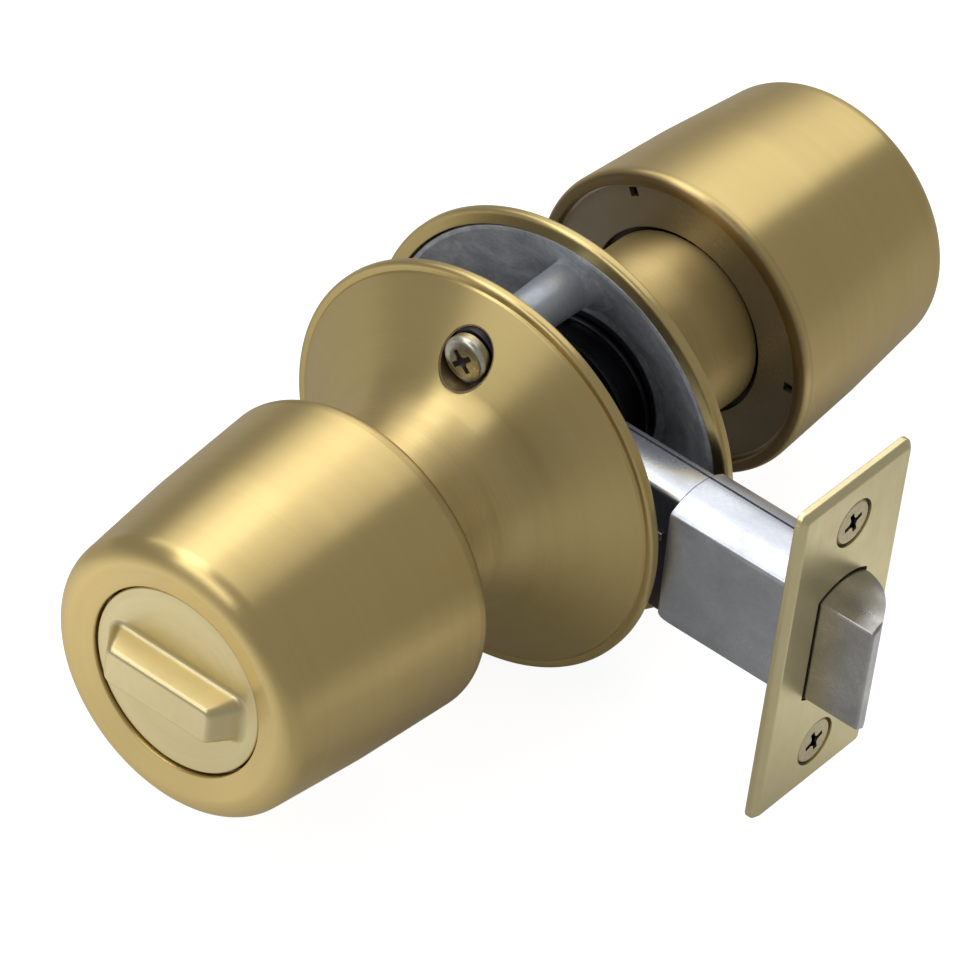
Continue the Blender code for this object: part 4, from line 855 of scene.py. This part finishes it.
def build_side(word, side):
    """The knob, rose and casting of one side, with what turns or sits in them."""
    body = f"{word}_knob"
    dress(lathe(f"{word}_knob_brass", KNOB_LINE, side), "knob", body, f"{word}_knob_shell")
    rose = lathe(f"{word}_rose_brass", ROSE_LINE, side)
    if side == INSIDE:
        cut_pockets(rose)
    dress(rose, "rose", "fixed_parts", f"{word}_rose")
    dress(notched_disc(f"{word}_back_plate", side), "disc", body, f"{word}_back_disc")
    # the shank, snap ring and return coil are black: painted shade deep in the hole
    dress(square_shank(f"{word}_shank_tube", side), "shank", body, f"{word}_shank")
    dress(spring_ring(f"{word}_snap_ring", side), "ring", body, f"{word}_retaining_ring")
    dress(lathe(f"{word}_cup", CUP_LINE, side), "cup", body, f"{word}_face_cup")
    dress(return_coil(f"{word}_return_coil", side), "ring", "fixed_parts", f"{word}_return_spring")
    dress(casting(f"{word}_casting", side), "casting", "fixed_parts", f"{word}_chassis")
    if side == INSIDE:
        for label, height in (("upper", SCREW_OFFSET), ("lower", -SCREW_OFFSET)):
            # the seat is black: painted shade in the gap under the screw head
            seat = lathe(f"{label}_screw_seat", SEAT_LINE, side, steps=SMALL_TURN_STEPS, height=height)
            dress(seat, "ring", "fixed_parts", "inside_chassis")
            wall = pocket_wall(f"{label}_pocket_wall", height)
            dress(wall, "pocket", "fixed_parts", "inside_rose")


def cross_cutters(spin, height, axis, top):
    """Two slots and a square pit for a cross recess, turned by spin round a line along X or Y."""
    for extra, arm, half in ((0.0, CROSS_ARM, CROSS_HALF), (math.pi / 2, CROSS_ARM, CROSS_HALF),
                             (math.pi / 4, CROSS_PIT, CROSS_PIT)):
        turn = Matrix.Translation(Vector((0, 0, height * MM))) @ Matrix.Rotation(spin + extra, 4, axis)
        if axis == "X":
            yield box_cutter((top - CROSS_DEPTH, -arm, -half), (top + CROSS_OVERRUN, arm, half), turn)
        else:
            yield box_cutter((-arm, -top - CROSS_OVERRUN, -half), (arm, -top + CROSS_DEPTH, half), turn)


# the dark layer in a cross is painted shade in the recess
def shade_line(top):
    """The line of the dark layer in a cross, under a screw's top."""
    return [(radius, top - CROSS_SHADE_DEPTH + rise, rounding) for radius, rise, rounding in CROSS_SHADE]


def build_screws():
    """The pan screws through the roses and the flat screws of the faceplate."""
    pan_top = SCREW_LINE[0][1]
    for label, height in (("upper", SCREW_OFFSET), ("lower", -SCREW_OFFSET)):
        screw = pin(f"{label}_pan_screw", SCREW_LINE, INSIDE, height)
        for cutter in cross_cutters(PAN_CROSS_SPIN, height, "Y", pan_top):
            carve(screw, cutter)
        # the black layer under the cross is painted shade in the recess
        shade_layer = pin(f"{label}_pan_screw_shade", shade_line(pan_top), INSIDE, height)
        for piece, look in ((screw, "screw"), (shade_layer, "ring")):
            dress(piece, look, "fixed_parts", f"{label}_through_screw")
    flat_top = PLATE_SCREW_LINE[0][1]
    for label, height in (("upper", PLATE_SCREW_OFFSET), ("lower", -PLATE_SCREW_OFFSET)):
        screw = pin_x(f"{label}_flat_screw", PLATE_SCREW_LINE, height)
        for cutter in cross_cutters(FLAT_CROSS_SPIN, height, "X", flat_top):
            carve(screw, cutter)
        shade_layer = pin_x(f"{label}_flat_screw_shade", shade_line(flat_top), height)
        # the black disc in the gap round the head is painted shadow
        gap = pin_x(f"{label}_flat_screw_gap_shade", PLATE_GAP_SHADE_LINE, height)
        for piece, look in ((screw, "plate_screw"), (shade_layer, "ring"), (gap, "ring")):
            dress(piece, look, "fixed_parts", f"{label}_plate_screw")


def build_turn():
    """The thumb turn in the inside knob's face, and the plain disc and slotted release in the outside one's.

    The grip's outline is carried outwards through its line, and its ends lean in: its length is multiplied by
    1 - GRIP_END_SLOPE * (height above its foot) / GRIP_HALF_LENGTH.
    """
    disc = lathe("turn_disc", TURN_LINE, INSIDE, closed=False)
    dress(disc, "turn", "thumb_turn", "thumb_turn")
    outline = box_outline(GRIP_HALF_LENGTH, GRIP_HALF_WIDTH, GRIP_CORNER)
    grid = bar_grid(outline, GRIP_LINE, False)
    height = grid[..., 0]
    lean = GRIP_END_SLOPE * (height - GRIP_LINE[0][0])
    length = grid[..., 1] * (1 - lean / GRIP_HALF_LENGTH)
    grip = surface("turn_grip", np.stack([length, -height, grid[..., 2]], axis=-1), False, True)
    dress(grip, "turn", "thumb_turn", "thumb_turn")
    dress(lathe("outside_face_plate", FACE_DISC_LINE, OUTSIDE), "turn", "outside_knob", "outside_face_disc")
    release = lathe("release_button", RELEASE_LINE, OUTSIDE, closed=False, steps=MID_TURN_STEPS)
    half = RELEASE_SLOT / 2
    carve(release, box_cutter((-RELEASE_SLOT_REACH, RELEASE_SLOT_FLOOR, -half),
                              (RELEASE_SLOT_REACH, RELEASE_SLOT_TOP, half)))
    dress(release, "turn", "thumb_turn", "emergency_release")


# Latch
def rear_shift(outline):
    """How far the case's rear rim moves forward below the flat's end: corner * (1 - sqrt(1 - below ** 2))."""
    edge = math.sqrt(CASE_RADIUS ** 2 - CASE_HALF ** 2)
    below = np.clip((-outline[:, 1] - (edge - CASE_CORNER)) / CASE_CORNER, 0, 1)
    return CASE_CORNER * (1 - np.sqrt(1 - below ** 2))


def seam_cutter(start, end):
    """A box that opens the seam in the latch's top between two places along it."""
    return box_cutter((start, SEAM_SHIFT - SEAM_HALF, SEAM_FLOOR),
                      (end, SEAM_SHIFT + SEAM_HALF, CASE_RADIUS + SEAM_OVERRUN))


def build_case():
    """The tube behind the faceplate, and the strips that close its rear beside the housing.

    The tube's outline is carried along X, and each point moves forward by its rear shift, wholly at the rear
    end and not at all at the front. The strips' section of (x, y) moves by the same shift at each height.
    """
    outline = latch_outline(CASE_HALF, CASE_RADIUS, CASE_EDGE)
    grid = bar_grid(outline, CASE_LINE, True)
    front = CASE_LINE[1][0]
    rear = CASE_LINE[0][0]
    share = (front - grid[..., 0]) / (front - rear)
    grid[..., 0] += share * rear_shift(outline)[None]
    case = surface("case_tube", grid, True, True)
    carve(case, seam_cutter(rear - SEAM_OVERRUN, front + SEAM_OVERRUN))
    dress(case, "case", "fixed_parts", "latch_case")
    up = np.linspace(-CASE_END_REACH, CASE_END_REACH, CASE_END_STEPS)
    moved = rear_shift(np.stack([np.zeros_like(up), up], axis=1))
    x = CASE_END_SECTION[None, :, 0] + moved[:, None]
    for word, side in (("inside", INSIDE), ("outside", OUTSIDE)):
        y = np.broadcast_to(side * CASE_END_SECTION[None, :, 1], x.shape)
        z = np.broadcast_to(up[:, None], x.shape)
        strip = surface(f"case_end_{word}", np.stack([x, y, z], axis=-1), False, True)
        # the strips are black: painted shade at the case's rear beside the housing
        dress(strip, "ring", "fixed_parts", "latch_case")


def build_housing():
    """The narrower rear of the latch with the hub's journal through it, and the tab stamped in its side."""
    housing = bar("housing_shell", latch_outline(HOUSING_HALF, CASE_RADIUS, CASE_EDGE), HOUSING_LINE)
    carve(housing, lathe("cutter", JOURNAL_LINE, OUTSIDE, closed=False, steps=MID_TURN_STEPS))
    carve(housing, seam_cutter(HOUSING_SEAM_START, CASE_LINE[0][0] + SEAM_OVERRUN))
    dress(housing, "housing", "fixed_parts", "hub_housing")
    tab_outline = box_outline((TAB_STAND - HOUSING_HALF) / 2 + TAB_SINK, TAB_HALF, TAB_CORNER)
    tab_outline += np.array([-(TAB_STAND + HOUSING_HALF) / 2 + TAB_SINK, TAB_MIDDLE])
    tab = bar("housing_tab", tab_outline, TAB_LINE)
    dress(tab, "cut_steel", "fixed_parts", "hub_housing")


def build_bolt():
    """The bolt's head. Its slanted face is crowned by 4 * crown * s * (1 - s), with s from heel to tip."""
    bolt = bar("bolt_head", latch_outline(BOLT_HALF, BOLT_RADIUS, BOLT_EDGE), BOLT_LINE)
    share = np.linspace(0, 1, BOLT_CROWN_STEPS)[:, None]
    across = np.array([BOLT_TIP - BOLT_HEEL, BOLT_LAND - BOLT_HALF])
    outwards = np.array([BOLT_HALF - BOLT_LAND, BOLT_TIP - BOLT_HEEL]) / np.linalg.norm(across)
    crown = np.array([BOLT_HEEL, BOLT_HALF]) + across * share
    crown = crown + outwards * 4 * BOLT_CROWN * share * (1 - share)
    beyond = np.array([[BOLT_TIP + BOLT_CUT_PAST, BOLT_LAND], [BOLT_TIP + BOLT_CUT_PAST, BOLT_CUT_SIDE],
                       [BOLT_HEEL, BOLT_CUT_SIDE]])
    carve(bolt, prism("cutter", np.concatenate([beyond, crown]), -BOLT_CUT_HEIGHT, BOLT_CUT_HEIGHT))
    carve(bolt, box_cutter(BOLT_SOCKET_LOW, BOLT_SOCKET_HIGH))
    dress(bolt, "bolt", "bolt", "latch_bolt")


def build_faceplate():
    """The faceplate, with the bolt's opening and two countersunk holes."""
    plate = bar("brass_faceplate", box_outline(PLATE_HALF_WIDTH, PLATE_HALF_HEIGHT, PLATE_CORNER), PLATE_LINE)
    carve(plate, bar("cutter", latch_outline(OPENING_HALF, OPENING_RADIUS, OPENING_EDGE), OPENING_LINE))
    for height in (PLATE_SCREW_OFFSET, -PLATE_SCREW_OFFSET):
        carve(plate, pin_x("cutter", PLATE_SINK_LINE, height))
    dress(plate, "plate", "fixed_parts", "faceplate")


def build_bolt_spring():
    """The bolt's spring, a coil along X with a mesh of its own; the real spring shortens as the bolt is
    drawn.
    """
    grid = coil_grid(BOLT_COIL_RADIUS, BOLT_COIL_WIRE, BOLT_COIL_START, BOLT_COIL_END, BOLT_COIL_TURNS)
    spring = surface("bolt_coil", grid, False, True)
    dress(spring, "spring", "fixed_parts", "bolt_spring")
    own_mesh(spring)


for side_word, side_sign in (("inside", INSIDE), ("outside", OUTSIDE)):
    build_side(side_word, side_sign)
build_screws()
build_turn()
build_case()
build_housing()
build_bolt()
build_faceplate()
build_bolt_spring()

KEPT = {
    "turn_rod": "cut_steel", "lock_crank": "cut_steel", "lock_slide": "cut_steel", "latch_hub": "bolt",
    "bolt_tail": "cut_steel", "tail_pin": "cut_steel", "spindle": "cut_steel", "spring_stop": "cut_steel",
}
for kept_name, kept_look in KEPT.items():
    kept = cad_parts[kept_name]
    for spot in kept.material_slots:
        spot.material = LOOKS[kept_look]


# Surroundings
def floor():
    """A pale floor that is seen nearly white, and that reflections see with its pools of extra light."""
    half = FLOOR_SIZE / 2
    mesh = bpy.data.meshes.new("floor")
    level = FLOOR_HEIGHT * MM
    corners = [(-half, -half, level), (half, -half, level), (half, half, level), (-half, half, level)]
    mesh.from_pydata(corners, [], [(0, 1, 2, 3)])
    plane = add_object("floor", mesh)
    material = bpy.data.materials.new("pale_floor")
    material.use_nodes = True
    tree = material.node_tree
    tree.nodes.clear()
    out = node(tree, "ShaderNodeOutputMaterial")
    matt = node(tree, "ShaderNodeBsdfDiffuse")
    matt.inputs["Color"].default_value = FLOOR_COLOUR
    glow = node(tree, "ShaderNodeEmission")
    glow.inputs["Color"].default_value = WHITE
    path = node(tree, "ShaderNodeLightPath")
    place = node(tree, "ShaderNodeTexCoord")
    reflected = FLOOR_REFLECTED
    for across, along, reach, strength in POOLS:
        away = node(tree, "ShaderNodeVectorMath", operation="DISTANCE")
        away.inputs[1].default_value = (across, along, level)
        tree.links.new(place.outputs["Object"], away.inputs[0])
        pool = band_mask(tree, away.outputs["Value"], 0.0, reach)
        reflected = maths(tree, "ADD", maths(tree, "MULTIPLY", pool, strength), reflected)
    # glossy rays see the floor glow: painted light in reflections, stronger in the pools
    seen = maths(tree, "ADD", maths(tree, "MULTIPLY", path.outputs["Is Camera Ray"], FLOOR_GLOW),
                 maths(tree, "MULTIPLY", path.outputs["Is Glossy Ray"], reflected))
    tree.links.new(seen, glow.inputs["Strength"])
    both = node(tree, "ShaderNodeAddShader")
    tree.links.new(matt.outputs[0], both.inputs[0])
    tree.links.new(glow.outputs[0], both.inputs[1])
    tree.links.new(both.outputs[0], out.inputs["Surface"])
    mesh.materials.append(material)


def light():
    """A white world, dimmer for light than for the eye, and three soft boxes round the lock."""
    world = bpy.data.worlds.new("studio")
    bpy.context.scene.world = world
    world.use_nodes = True
    tree = world.node_tree
    back = tree.nodes["Background"]
    path = node(tree, "ShaderNodeLightPath")
    extra = maths(tree, "MULTIPLY", path.outputs["Is Camera Ray"], WORLD_SEEN - WORLD_LIGHT)
    strength = maths(tree, "ADD", extra, WORLD_LIGHT)
    back.inputs["Color"].default_value = WHITE
    tree.links.new(strength, back.inputs["Strength"])
    for name, azimuth, elevation, width, height, radiance in LAMPS:
        turn = math.radians(azimuth)
        rise = math.radians(elevation)
        away = Vector((math.cos(rise) * math.cos(turn), math.cos(rise) * math.sin(turn), math.sin(rise)))
        lamp = bpy.data.lights.new(name, "AREA")
        lamp.shape = "RECTANGLE"
        lamp.size = width
        lamp.size_y = height
        lamp.energy = radiance * math.pi * width * height
        holder = add_object(name, lamp)
        holder.location = away * LAMP_DISTANCE
        holder.rotation_euler = (-away).to_track_quat("-Z", "Y").to_euler()


def camera():
    """The camera at the photograph's angle."""
    lens = bpy.data.cameras.new("camera")
    lens.lens = LENS_LENGTH
    lens.sensor_width = SENSOR_WIDTH
    lens.clip_end = VIEW_LIMIT
    holder = add_object("camera", lens)
    holder.matrix_world = CAMERA_PLACE
    bpy.context.scene.camera = holder


floor()
light()
camera()
bpy.context.scene.view_settings.view_transform = "Standard"
